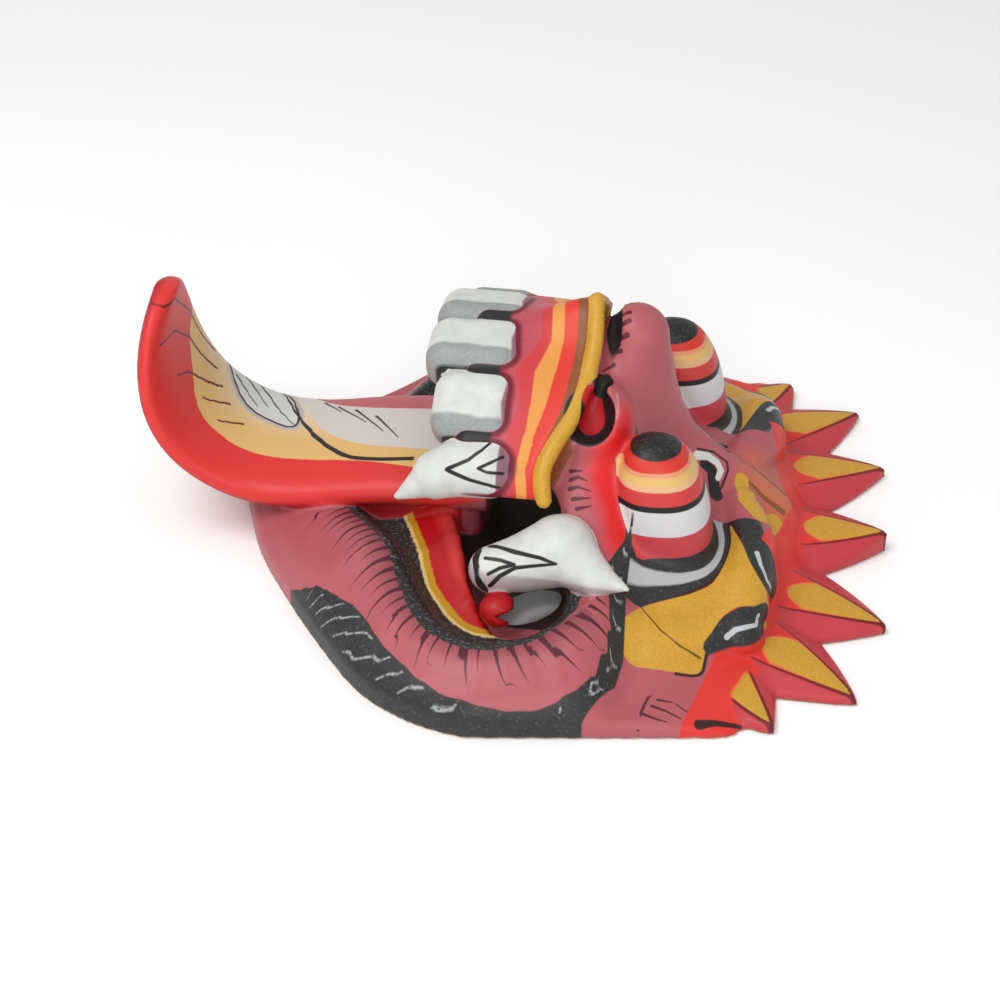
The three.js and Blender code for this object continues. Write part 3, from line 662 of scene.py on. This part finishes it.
# flames: share of the length of the nearest one and place across it
flame_plan = np.full((3, len(x)), FAR)
for *plan, _, _ in FLAMES:
    share, from_middle, _, edge = leaf(x, y, *plan)
    flame_plan = np.where(edge < flame_plan[2], np.stack([share, from_middle, edge]), flame_plan)
attribute("crown", *flame_plan[:2])

# wood that was never painted: the hollow back and the flat rim
HOLLOW_SKIN, RIM_SKIN = 1.2, 0.3
attribute("bare", -uncut(x, signed_y, z) - HOLLOW_SKIN, RIM_SKIN - z, field["jaw"])


# shader arithmetic
painted = bpy.data.materials.new("painted_carving")
painted.use_nodes = True
tree = painted.node_tree
nodes, links = tree.nodes, tree.links


def plug(socket, value):
    """Link a wire to a socket, or set the socket to a number or colour."""
    if isinstance(value, Wire):
        links.new(value.socket, socket)
    else:
        socket.default_value = value


class Wire:
    """A value that varies over the surface."""
    def __init__(self, socket):
        self.socket = socket

    def __add__(self, other):
        return calc("ADD", self, other)

    def __sub__(self, other):
        return calc("SUBTRACT", self, other)

    def __rsub__(self, other):
        return calc("SUBTRACT", other, self)

    def __mul__(self, other):
        return calc("MULTIPLY", self, other)

    def __truediv__(self, other):
        return calc("DIVIDE", self, other)

    def __abs__(self):
        return calc("ABSOLUTE", self)

    __radd__ = __add__
    __rmul__ = __mul__


def calc(operation, *values):
    made = nodes.new("ShaderNodeMath")
    made.operation = operation
    for socket, value in zip(made.inputs, values):
        plug(socket, value)
    return Wire(made.outputs[0])


def least(first, *others):
    for other in others:
        first = calc("MINIMUM", first, other)
    return first


def most(first, *others):
    for other in others:
        first = calc("MAXIMUM", first, other)
    return first


def stored(name):
    """A vector kept per point of the carving."""
    made = nodes.new("ShaderNodeAttribute")
    made.attribute_name = name
    return Wire(made.outputs["Vector"])


def read(name, count=3):
    """The first values of a stored vector."""
    made = nodes.new("ShaderNodeSeparateXYZ")
    plug(made.inputs[0], stored(name))
    return [Wire(made.outputs[k]) for k in range(count)]


def join_xyz(a, b, c=0.0):
    made = nodes.new("ShaderNodeCombineXYZ")
    for socket, value in zip(made.inputs, (a, b, c)):
        plug(socket, value)
    return Wire(made.outputs[0])


def arrow(operation, a, b):
    """Arithmetic on vectors."""
    made = nodes.new("ShaderNodeVectorMath")
    made.operation = operation
    plug(made.inputs[0], a)
    plug(made.inputs["Scale" if operation == "SCALE" else 1], b)
    return Wire(made.outputs["Value" if operation in ("DOT_PRODUCT", "LENGTH") else "Vector"])


def within(distance, soft=0.3):
    """1 where the distance is negative, with a soft border."""
    made = nodes.new("ShaderNodeMapRange")
    plug(made.inputs["Value"], distance)
    made.inputs["From Min"].default_value = soft / 2
    made.inputs["From Max"].default_value = -soft / 2
    return Wire(made.outputs[0])


def between(value, low, high, soft=0.3):
    """1 where the value is between the two, with soft borders."""
    return within(abs(value - (low + high) / 2) - (high - low) / 2, soft)


def noise(place, scale, detail=2.0, stretch=None):
    made = nodes.new("ShaderNodeTexNoise")
    if stretch:
        place = arrow("MULTIPLY", place, stretch)
    plug(made.inputs["Vector"], place)
    made.inputs["Scale"].default_value = scale
    made.inputs["Detail"].default_value = detail
    return Wire(made.outputs["Fac"])


PAINT_DEPTH = 0.74                          # share of the light that the paint gives back
MIX_BASE, MIX_COLOUR, MIX_RESULT = 6, 7, 2  # a Mix node's colour sockets


def linear(colour):
    """A colour given in steps of 255, as the shader takes it."""
    return tuple(PAINT_DEPTH * (c / 12.92 if c <= 0.04045 else ((c + 0.055) / 1.055) ** 2.4)
                 for c in (v / 255 for v in colour)) + (1.0,)


def blend(base, colour, amount):
    """A colour over a base, by an amount from 0 to 1."""
    made = nodes.new("ShaderNodeMix")
    made.data_type = "RGBA"
    plug(made.inputs["Factor"], amount)
    plug(made.inputs[MIX_BASE], base if isinstance(base, Wire) else linear(base))
    plug(made.inputs[MIX_COLOUR], colour if isinstance(colour, Wire) else linear(colour))
    return Wire(made.outputs[MIX_RESULT])


def layered(base, *coats):
    """Coats of paint over each other; a coat is (colour, amount)."""
    for colour, amount in coats:
        base = blend(base, colour, amount)
    return base


def banded(base, value, *bands):
    """Colours over each other, each from its mark upwards; a band is (mark, colour, softness)."""
    return layered(base, *((colour, within(mark - value, soft)) for mark, colour, soft in bands))


def strokes(place, *paths):
    """Distance to brush strokes; a path is (points, width at the start, width at the end)."""
    best = None
    for points, wide, narrow in paths:
        for k, (a, b) in enumerate(zip(points[:-1], points[1:])):
            start = wide + (narrow - wide) * k / (len(points) - 1)
            end = wide + (narrow - wide) * (k + 1) / (len(points) - 1)
            a, b = (Vector(p if len(p) == 3 else (*p, 0)) for p in (a, b))
            line = b - a
            local = arrow("SUBTRACT", place, a)
            t = arrow("DOT_PRODUCT", local, line / line.length_squared)
            t = least(most(t, 0.0), 1.0)
            gap = arrow("LENGTH", arrow("SUBTRACT", local, arrow("SCALE", line, t)), (0, 0, 0))
            edge = calc("MULTIPLY_ADD", t, (start - end) / 2, -start / 2)
            d = gap + edge
            best = d if best is None else least(best, d)
    return best


def brushed(base, colour, place, *paths):
    """Brush strokes of one colour over a base."""
    return blend(base, colour, within(strokes(place, *paths)))


# colours, in steps of 255
PINK, PINK_PALE, NOSE_HIGHLIGHT_PINK = (186, 88, 98), (202, 104, 112), (228, 158, 156)
RED, FLAME_RED, DEEP_RED, HOT = (236, 48, 46), (246, 64, 50), (206, 8, 18), (238, 60, 40)
CHEEK_GLOW, FOREHEAD_GLOW, TEMPLE_INK = (240, 30, 32), (226, 120, 70), (88, 36, 44)
DARK_RED, CREAM, CREAM_PALE, ORANGE = (104, 20, 34), (243, 198, 122), (244, 222, 190), (250, 158, 80)
GOLD, GOLD_DARK, GOLD_PALE = (242, 186, 54), (188, 132, 26), (250, 214, 120)
WHITE, WHITE_SHADE, GRAY = (236, 238, 232), (206, 210, 206), (132, 134, 132)
BLACK, INK, BROWN = (48, 48, 48), (28, 26, 26), (150, 84, 40)
RING_GRAY, BROW_BROWN, BROW_SHADOW = (196, 198, 200), (120, 84, 20), (60, 30, 24)
FLAME_ROSE, FLAME_BORDER, FLAME_CREASE = (206, 66, 76), (252, 124, 62), (128, 22, 34)
FLAME_FOOT, BOSS_GLINT = (60, 24, 26), (206, 210, 212)
JAW_DARK_BY_LIP, LASH_INK, BEARD_GRAY = (96, 50, 58), (92, 28, 42), (190, 194, 192)
MOUTH_DARK, GUM_RED, KNOB_RED = (34, 26, 26), (198, 20, 40), (176, 0, 10)
NOSTRIL_DEEP, NOSTRIL_RED, LIP_SHADE = (196, 6, 24), (224, 30, 44), (128, 20, 44)
LIP_AMBER, LIP_ROSE, LIP_PLUM, LIP_PINK = (240, 168, 70), (206, 74, 84), (196, 66, 84), (214, 96, 108)
TOOTH_SHADOW, TOOTH_SHADOW_PALE = (128, 132, 132), (176, 180, 180)
ROOT_SHADE, TUSK_UNDERSIDE_SHADOW = (156, 112, 128), (186, 164, 170)
TONGUE_RED, TONGUE_PEARL, TONGUE_ROSE = (240, 62, 58), (228, 222, 214), (208, 100, 108)
LEAF_GRAY, LEAF_BORDER, CURVE_INK = (196, 198, 196), (92, 34, 44), (40, 28, 34)
VEIN_RED, VEIN_GRAY, TONGUE_UNDERSIDE_SHADE = (118, 26, 40), (74, 54, 60), (186, 26, 44)
WOOD, WOOD_DARK = (196, 160, 112), (160, 118, 76)

spot = stored("spot")
px, py, pz = read("spot")
side = abs(py)
mirrored = join_xyz(px, side, pz)
r_tongue, r_muzzle, r_edge = read("parts_a")
r_teeth, r_fang, r_tusk = read("parts_b")
r_eye, r_jaw, r_flame = read("parts_c")
[r_knob] = read("parts_d", 1)
t_along, t_across, t_off = read("tongue")
t_cream, t_leaf, t_curve = read("tongue_a")
t_gray, t_pink = read("tongue_b", 2)
l_along, l_off, l_band = read("lip")
beard_gap, rim_gap, eye_gap = read("beard")
upper_band, groove, nostril = read("upper")
tooth_place, tooth_gap, fang_gap = read("tooth")
gold_gap, ring_share, boss_gap = read("brow")
f_share, f_across = read("crown", 2)
bare_gap, base_gap, jaw_gap = read("bare")

wobble = noise(spot, 0.12, 2) - 0.5
slow = noise(spot, 0.035, 0) - 0.5
grain = noise(spot, 2.6, 3)
speck = noise(spot, 1.1, 4)

# paints with grains of a second tone
gold_paint = blend(blend(GOLD, GOLD_DARK, within(0.43 - grain, 0.2) * 0.6), GOLD_PALE,
                   within(grain - 0.62, -0.1) * 0.5)
black_paint = blend(BLACK, GRAY, within(0.66 - speck, 0.16) * 0.4)
white_paint = blend(WHITE, WHITE_SHADE, within(noise(spot, 0.25, 3) - 0.5, 0.5) * 0.6)

# skin
paint = blend(PINK, PINK_PALE, noise(spot, 0.05, 3))
glow = strokes(mirrored, ([(42, 28, 59), (37, 35, 53), (35.8, 38, 48), (39.3, 43, 41),
                           (41.8, 47.5, 33), (46, 51, 28), (56, 54, 25), (66, 52, 22)], 9, 9))
paint = blend(paint, CHEEK_GLOW, within(glow + wobble * 3, 6))
warm = strokes(mirrored, ([(86, 0, 20), (94, 0, 8)], 24, 34))
paint = blend(paint, FOREHEAD_GLOW, within(warm, 14) * 0.8)

# forehead: a gold arc on the near side, and a groove on each side of the middle
arc = strokes(spot, ([(76, -5, 26), (78.3, -15.5, 26.5), (82.3, -20.5, 24.9), (87.2, -11.5, 14.7)],
                     5, 7.5))
paint = blend(paint, gold_paint, within(arc + wobble))
paint = brushed(paint, BROWN, mirrored,
                ([(78.8, 4.6, 25), (83.5, 5.6, 20.5), (89.4, 4.9, 15.1)], 1.6, 2.4))

# temple: an arc and short strokes
paint = brushed(
    paint, TEMPLE_INK, mirrored,
    ([(53.7, 97.1, 3), (54, 92.2, 5.4), (55.4, 87, 6.4), (58.4, 83.9, 7.7), (63.1, 82.9, 7.7)], 0.9, 0.7),
    ([(60.7, 84, 7.7), (64.3, 86.6, 7.1), (67.8, 88, 6.6)], 1, 0.4),
    ([(58.2, 87.2, 6.1), (62.7, 87.4, 6.1), (66.6, 89.8, 5)], 1, 0.4),
    ([(56.8, 89.6, 5.7), (60.8, 90.7, 5.4), (65.2, 92.5, 4.6)], 1, 0.4),
    ([(54.6, 92.8, 5.3), (58.3, 93.9, 4.9), (61.4, 94.3, 4.6)], 1, 0.4))

# nose and cheek: dark strokes, and pale strokes of painted highlight along the nostril
paint = brushed(
    paint, DARK_RED, mirrored,
    ([(39, 2.5, 80.7), (35.6, 2.8, 78.2), (32.2, 8.7, 77.3)], 1.5, 0.6),
    ([(39.1, 5.4, 79.4), (34.6, 6, 76.2), (31.7, 12.2, 75.6)], 1.8, 0.6),
    ([(38.9, 8.3, 76.3), (34.5, 9, 73.6), (31.8, 14.8, 73.4)], 1.8, 0.6),
    ([(37.5, 10.3, 71.9), (34.2, 11, 70.6), (31.7, 16.6, 71.4)], 1.5, 0.6),
    ([(35.8, 12.6, 68.3), (32.7, 13.6, 66.6)], 1.4, 0.5),
    ([(26.7, 38, 46.9), (29.9, 38.3, 47.5)], 1.3, 0.4),
    ([(27, 40, 45.2), (29, 39.5, 46.1), (31.7, 40.3, 45.5)], 1.5, 0.4),
    ([(27, 42.1, 43.5), (29.3, 41.8, 44.2), (32.9, 42.4, 43.6)], 1.5, 0.4),
    ([(28.2, 44.4, 41.6), (33.1, 43.9, 42.2)], 1.4, 0.4),
    ([(29.6, 46.4, 39.7), (33.6, 45.5, 40.5)], 1.3, 0.4))
glints = strokes(
    mirrored,
    ([(38.1, 25.1, 66.1), (39, 29.9, 62.4), (36.4, 31.2, 57), (31.4, 32.8, 54.5)], 0.9, 0.5),
    ([(36.6, 29.5, 56), (31, 31.5, 53), (26.5, 35, 54.5)], 0.7, 0.4))
# painted highlights along the nose and nostril
paint = blend(paint, NOSE_HIGHLIGHT_PINK, within(glints, 0.8) * 0.8)

# socket rings and brow
in_socket = within(most(gold_gap * -1, eye_gap - 15, 17 - pz, 44 - px, 24 - side), 0.3)
paint = blend(paint, black_paint, in_socket)
ring = between(ring_share + wobble * 0.08, 0.26, 0.62, 0.06)
paint = blend(paint, RING_GRAY, in_socket * ring)
paint = blend(paint, gold_paint, within(gold_gap + wobble * 0.6))
brow_crease = strokes(mirrored, ([(50.9, 63.3, 19.1), (56.8, 69.4, 16.7), (62.8, 71.9, 13.6),
                                  (68.7, 71.8, 9.8)], 0.5, 0.8))
paint = blend(paint, BROW_BROWN, within(brow_crease) * within(gold_gap))
# a painted shadow along the edge of the gold brow, where x is past 62
paint = blend(paint, BROW_SHADOW, between(gold_gap, 0.0, 0.9) * within(px * -1 + 62))

# flames: red ground, and a gold leaf with a pale border and creases on each
FLAME_HALF, LEAF_SHARE, CREASE_SHARE = 21, 0.36, 0.43
red_ground = blend(RED, FLAME_RED, noise(spot, 0.08, 2))
ground = within(least(r_flame, most(78 - px - (side - 50) * 0.28, gold_gap * -1)), 0.6)
paint = blend(paint, red_ground, ground)
f_half = (1 - f_share) * (1 + f_share * FLAME_BULGE) * FLAME_HALF
on_flame = within(r_flame)
leaf_half = least(f_half * LEAF_SHARE, calc("SQRT", most((f_share - 0.02) * 5, 0.0)) * 6.2)
leaf_gap = most(abs(f_across) - leaf_half, (0.03 - f_share) * 30)
crease = abs(abs(f_across) - f_half * CREASE_SHARE) - 0.3 - f_share * 0.35
inner = within(f_half * CREASE_SHARE - f_across, 0.4)
root_line = strokes(mirrored, ([(70.3, 93, 3.6), (74.6, 91.3, 3.3), (81.6, 89.5, 1.2)], 3.2, 1.6))
paint = layered(
    paint,
    (FLAME_ROSE, on_flame * inner * 0.85),
    (FLAME_BORDER, on_flame * within(leaf_gap - 0.7, 0.6)),
    (gold_paint, on_flame * within(leaf_gap + wobble * 0.5)),
    (FLAME_CREASE, on_flame * within(crease) * within(f_share * -1 - 0.02)),
    (FLAME_FOOT, within(root_line + wobble)))

# bosses: black ovals, with strokes of painted highlight
paint = blend(paint, black_paint, within(boss_gap) * within(60 - px) * within(10 - pz, 0.8))
paint = brushed(
    paint, BOSS_GLINT, mirrored,
    ([(75.8, 65.3, 13.1), (77.9, 63.3, 14.4), (80.9, 62, 14.7), (83.7, 59.7, 13.9),
      (84.3, 55.8, 14.6)], 1.8, 1),
    ([(82.3, 38.5, 23.8), (83.7, 42.5, 22.6), (85.8, 45.8, 19.8), (87.2, 45.5, 16.8)], 1.6, 1))

# curl between the eye and the nose
paint = brushed(
    paint, INK, mirrored,
    ([(64.1, 7.7, 32.8), (66.7, 7.8, 30.6), (67.6, 10.4, 27.3), (68.6, 13.5, 25.1)], 3, 4.2),
    ([(61.9, 5.9, 36.6), (66.7, 2.9, 33.9), (70.9, 2.8, 30.6), (71.5, 5.1, 29.2), (70.1, 9.8, 26.4),
      (68.7, 14.2, 24.9)], 0.8, 0.8))
paint = brushed(
    paint, white_paint, mirrored,
    ([(61.8, 7.4, 35.3), (65.1, 5.5, 34), (67.9, 5.1, 31.8), (69.4, 6.4, 29.9), (68.7, 8.6, 28.4)],
     2.8, 1.8))

# eye: bands by height, and a round pupil
height = pz - (px - 54) * 0.055 + (side - 45) * 0.02
eye_paint = banded(
    BLACK, height, (26.2, (214, 70, 78), 0.3), (33.2, (232, 232, 234), 0.3), (40.9, INK, 0.3),
    (42.7, (226, 66, 66), 0.3), (46.8, (248, 196, 150), 0.3), (48.4, (243, 200, 116), 1.2),
    (50.6, (244, 160, 120), 0.8), (51.8, (232, 56, 44), 0.3))
pupil = strokes(mirrored, ([(50.4, 32.2, 60), (50.4, 33.2, 60)], 18.4, 18.4))
eye_paint = blend(eye_paint, blend(INK, GRAY, within(0.62 - speck, 0.2) * 0.3), within(pupil))
paint = blend(paint, eye_paint, within(r_eye))

# lower jaw: lashes, the skin darker next to the lip under them, and the bands of the lip
LASH_SPACING, LASH_LENGTH, LASH_HALF_WIDTH = 3.7, 14.5, 0.85
on_jaw = within(r_jaw)
bend = calc("POWER", most(l_off, 0.0), 2.0) * 0.016
lash_place = (l_along - bend) / LASH_SPACING + slow * 1.2
lash = calc("FRACT", lash_place)
lash_end = LASH_LENGTH + calc("SINE", calc("FLOOR", lash_place) * 2.4) * 2.6
lash_gap = abs(lash - 0.5) * LASH_SPACING - LASH_HALF_WIDTH * most((lash_end - l_off) / 13, 0.0)
lashes = within(lash_gap, 0.25) * within(l_off - lash_end) * within(26 - l_along) * within(l_along - 139)
dark_by_lip = within(l_off - 7, 8) * within(26 - l_along) * within(l_along - 134)
paint = blend(paint, JAW_DARK_BY_LIP, on_jaw * dark_by_lip * within(1 - l_off, 1) * 0.5)
paint = blend(paint, LASH_INK, on_jaw * lashes * within(2.0 - l_off))
speckled = blend(BLACK, GRAY, within(0.6 - speck, 0.14) * 0.7)
mouth_paint = banded(
    GUM_RED, l_band, (0, (232, 62, 58), 0.3), (0.9, DEEP_RED, 0.5), (2, (216, 158, 30), 0.15),
    (2.7, (248, 214, 140), 0.15), (3, speckled, 0.06))
lip_zone = within(l_band - 4, 0.1) * within(9.5 - pz) * within(px - 44) * within(jaw_gap - 2.5)
paint = blend(paint, mouth_paint, lip_zone)

# beard: black, with gray strokes that fade towards the rim and the upper edge
BEARD_SPACING = 6.5
beard_line = calc("FRACT", (l_along + beard_gap * 1.1) / BEARD_SPACING + slow * 2)
beard_stroke = (within(abs(beard_line - 0.5) * BEARD_SPACING - 0.4, 0.5)
                * within(rim_gap + 1 + wobble * 3) * within(1 - beard_gap + wobble * 3)
                * within(0.42 - speck, 0.3))
beard_paint = blend(black_paint, BEARD_GRAY, beard_stroke * 0.85)
paint = blend(paint, beard_paint, within(beard_gap * -1) * within(px * -1 - 62))

# inside of the mouth, and the knob at its corner
inside = most(pz - 9.6, side - 66, px - 40, -30 - px)
paint = blend(paint, MOUTH_DARK, within(inside, 0.8) * within(l_off + 4))
paint = blend(paint, blend(DEEP_RED, KNOB_RED, grain), within(r_knob - 0.6))

# upper lip: bands from the raised edge to the teeth, and the nostrils
lip_paint = banded(
    BROWN, upper_band, (1, HOT, 0.12), (2, blend(ORANGE, LIP_AMBER, speck), 0.12),
    (3, blend(LIP_ROSE, RED, speck), 0.12), (4.2, blend(LIP_PLUM, LIP_PINK, speck), 0.4))
lip_paint = blend(lip_paint, LIP_SHADE, within(least(tooth_gap, fang_gap) - 1.4, 1))
lip_paint = blend(lip_paint, INK, within(tooth_gap - 2.5) * within(px - 3.5, 1))
nostril_floor = strokes(mirrored, ([(30.2, 25, 64), (31, 27, 57)], 8.4, 8)) + wobble * 0.6
paint = layered(
    paint,
    (INK, within(groove - 1.0) * within(40 - pz)),
    (lip_paint, within(r_muzzle)),
    (INK, within(nostril - 0.5)),
    (blend(NOSTRIL_DEEP, NOSTRIL_RED, speck), within(nostril_floor) * within(nostril - 0.7)),
    (gold_paint, within(r_edge)))

# teeth, fangs and tusks
# teeth: white, with a band of painted shadow on each tooth's side towards the camera
tooth_paint = layered(
    white_paint,
    (blend(TOOTH_SHADOW, TOOTH_SHADOW_PALE, speck), within(0.42 - (tooth_place + wobble * 0.3), 0.1) * 0.9),
    (ROOT_SHADE, within(5.2 - px + abs(tooth_place) * 1.5, 0.6)),
    (INK, within(0.95 - abs(tooth_place), 0.04)))
paint = blend(paint, tooth_paint, within(r_teeth))
fang_paint = banded(white_paint, px, (6.4, ROOT_SHADE, 0.4), (9.6, DARK_RED, 0.3))
fang_paint = brushed(
    fang_paint, INK, mirrored,
    ([(4, 40.9, 57.1), (1.6, 44.6, 56.2), (-1.9, 47.5, 54.3), (-8.1, 49.3, 51.6)], 0.9, 1.3),
    ([(-8.1, 49.3, 51.6), (-0.9, 50.6, 49.5), (4.3, 50.8, 48.4), (8.5, 49.8, 46.8)], 1.3, 1.1),
    ([(7.8, 45.1, 54.7), (4.5, 47.8, 54.2), (1.2, 49.2, 52.9), (3.6, 49.8, 52.2),
      (8.6, 48.5, 51.3)], 1, 1))
paint = blend(paint, fang_paint, within(r_fang))
# tusk: white, its lower part darkened as painted shade
tusk_paint = blend(white_paint, TUSK_UNDERSIDE_SHADOW, within(pz - 28.2 + wobble * 2, 1.2) * 0.8)
tusk_paint = brushed(
    tusk_paint, INK, mirrored,
    ([(5.9, 57.5, 31.9), (13.9, 62, 34), (21.4, 64.5, 34.7), (26.1, 65.6, 33.9)], 1.7, 0.9),
    ([(26.1, 65.6, 33.9), (20.1, 65.3, 32.3), (14.3, 65.1, 30.7), (10.1, 65.9, 27.9),
      (7.3, 66.5, 24.4)], 0.9, 1.5),
    ([(5.3, 62.4, 31.2), (9.8, 63.4, 31.7), (14, 64.6, 31.4), (10, 64.9, 30),
      (6.7, 65.8, 28.1)], 1.2, 1.1),
    ([(2, 58, 31), (3.6, 63, 28), (5.2, 66.5, 22)], 3.4, 3.4))
paint = blend(paint, tusk_paint, within(r_tusk))

# tongue
curve_gap = abs(t_curve) - 0.45 - within(t_along - 64, 8) * 0.4
tongue_paint = layered(
    RED,
    (TONGUE_RED, noise(spot, 0.06, 3)),
    (blend(CREAM, CREAM_PALE, within(t_cream + 18, 18)), within(t_cream + wobble * 0.6)),
    (TONGUE_PEARL, within(t_gray) * within(t_along - 70)),
    (TONGUE_ROSE, within(t_pink)),
    (LEAF_GRAY, within(t_leaf - 2.4, 1.2)),
    (LEAF_BORDER, within(t_leaf - 0.9)),
    (white_paint, within(t_leaf)),
    (CURVE_INK, within(curve_gap) * within(24 - t_along)))
drawing = join_xyz(t_along, t_across)
tongue_paint = brushed(
    tongue_paint, VEIN_RED, drawing,
    ([(145.1, -8.7), (145.2, -2.3), (129.7, 15.1), (108.2, 22.6)], 0.7, 1.2),
    ([(135.1, -14.7), (133.1, -2.5), (123.4, 8.4), (104.8, 14.8)], 0.7, 1.2),
    ([(119.6, -8.6), (115.3, -0.9), (99.8, 9)], 0.7, 1.1),
    ([(105.1, -3.4), (94.2, 3.7)], 0.7, 1),
    ([(95.3, -6.8), (86.3, -2.2)], 0.7, 1))
tongue_paint = brushed(
    tongue_paint, VEIN_GRAY, drawing,
    ([(92.6, 25.3), (80.7, 11.6)], 1, 0.4), ([(96, 21), (84, 9.5)], 1, 0.4),
    ([(86, 24), (76.8, 12.6), (68, 4.5)], 0.9, 0.4), ([(60.7, 20.1), (52.9, 12.5)], 0.9, 0.4),
    ([(54.8, 16.3), (42.8, 4.8)], 0.9, 0.4), ([(48, 13.1), (36.3, -0.9)], 0.9, 0.4),
    ([(40.3, 8.2), (30.9, -4.4)], 0.9, 0.4))
# painted shade on the tongue's lower side, below its middle
tongue_paint = blend(tongue_paint, TONGUE_UNDERSIDE_SHADE, within(1.5 - t_off, 2) * 0.85)
paint = blend(paint, tongue_paint, within(r_tongue))

# bare wood
wood = blend(WOOD, WOOD_DARK, noise(spot, 0.35, 4, stretch=(0.12, 1, 1)))
paint = blend(paint, wood, within(least(bare_gap * -1, base_gap * -1), 0.5))

# the shader, with fine brush and wood grain as bump
shader = nodes["Principled BSDF"]
plug(shader.inputs["Base Color"], paint)
plug(shader.inputs["Roughness"], 0.42 + grain * 0.16)
shader.inputs["Specular IOR Level"].default_value = 0.35
shader.inputs["Coat Weight"].default_value = 0.08
shader.inputs["Coat Roughness"].default_value = 0.25
bump = nodes.new("ShaderNodeBump")
bump.inputs["Strength"].default_value = 0.12
bump.inputs["Distance"].default_value = 0.0006
plug(bump.inputs["Height"], noise(spot, 0.5, 4, stretch=(0.4, 1, 1)) + grain * 0.3)
links.new(bump.outputs["Normal"], shader.inputs["Normal"])
mesh.materials.append(painted)

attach(carving, "root")
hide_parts("mask")

# floor, light and camera
FLOOR_HALF, FLOOR_GAP = 3, 0.0003
corners = [(FLOOR_HALF * a, FLOOR_HALF * b, 0) for a, b in ((-1, -1), (1, -1), (1, 1), (-1, 1))]
floor_mesh = bpy.data.meshes.new("floor")
floor_mesh.from_pydata(corners, [], [(0, 1, 2, 3)])
floor = linked("floor", floor_mesh)
floor.location.z = cad_low[2] - FLOOR_GAP
pale = bpy.data.materials.new("pale_floor")
pale.use_nodes = True
pale_shader = pale.node_tree.nodes["Principled BSDF"]
pale_shader.inputs["Base Color"].default_value = (0.97, 0.97, 0.97, 1)
pale_shader.inputs["Roughness"].default_value = 0.9
floor_mesh.materials.append(pale)

world = bpy.data.worlds.new("studio")
bpy.context.scene.world = world
world.use_nodes = True
background = world.node_tree.nodes["Background"]
background.inputs["Color"].default_value = (1, 1, 1, 1)
background.inputs["Strength"].default_value = 0.62


def softbox(name, place, size, watts):
    """A round soft light aimed at the middle of the mask."""
    light = bpy.data.lights.new(name, "AREA")
    light.shape = "DISK"
    light.size = size
    light.energy = watts
    lamp = linked(name, light)
    lamp.location = place
    lamp.rotation_mode = "QUATERNION"
    lamp.rotation_quaternion = (LIGHT_TARGET - Vector(place)).to_track_quat("-Z", "Y")


LIGHT_TARGET = Vector((0, 0, 0.03))
softbox("key", (-0.35, -0.35, 0.9), 0.6, 5)
softbox("front", (0.15, -0.8, 0.45), 0.5, 2.2)

CAMERA_AZIMUTH, CAMERA_ELEVATION = math.radians(8.75), math.radians(36)
CAMERA_DISTANCE, CAMERA_LENS, CAMERA_SENSOR = 0.620, 69.75, 36
AIM_HEIGHT = 0.0063
back = Vector((math.sin(CAMERA_AZIMUTH) * math.cos(CAMERA_ELEVATION),
               -math.cos(CAMERA_AZIMUTH) * math.cos(CAMERA_ELEVATION),
               math.sin(CAMERA_ELEVATION)))
lens = bpy.data.cameras.new("camera")
lens.sensor_width = CAMERA_SENSOR
lens.lens = CAMERA_LENS
camera = linked("camera", lens)
camera.location = Vector((shift[0] * MM, 0, AIM_HEIGHT)) + back * CAMERA_DISTANCE
camera.rotation_mode = "QUATERNION"
camera.rotation_quaternion = back.to_track_quat("Z", "Y")
bpy.context.scene.camera = camera
bpy.context.scene.view_settings.view_transform = "Standard"
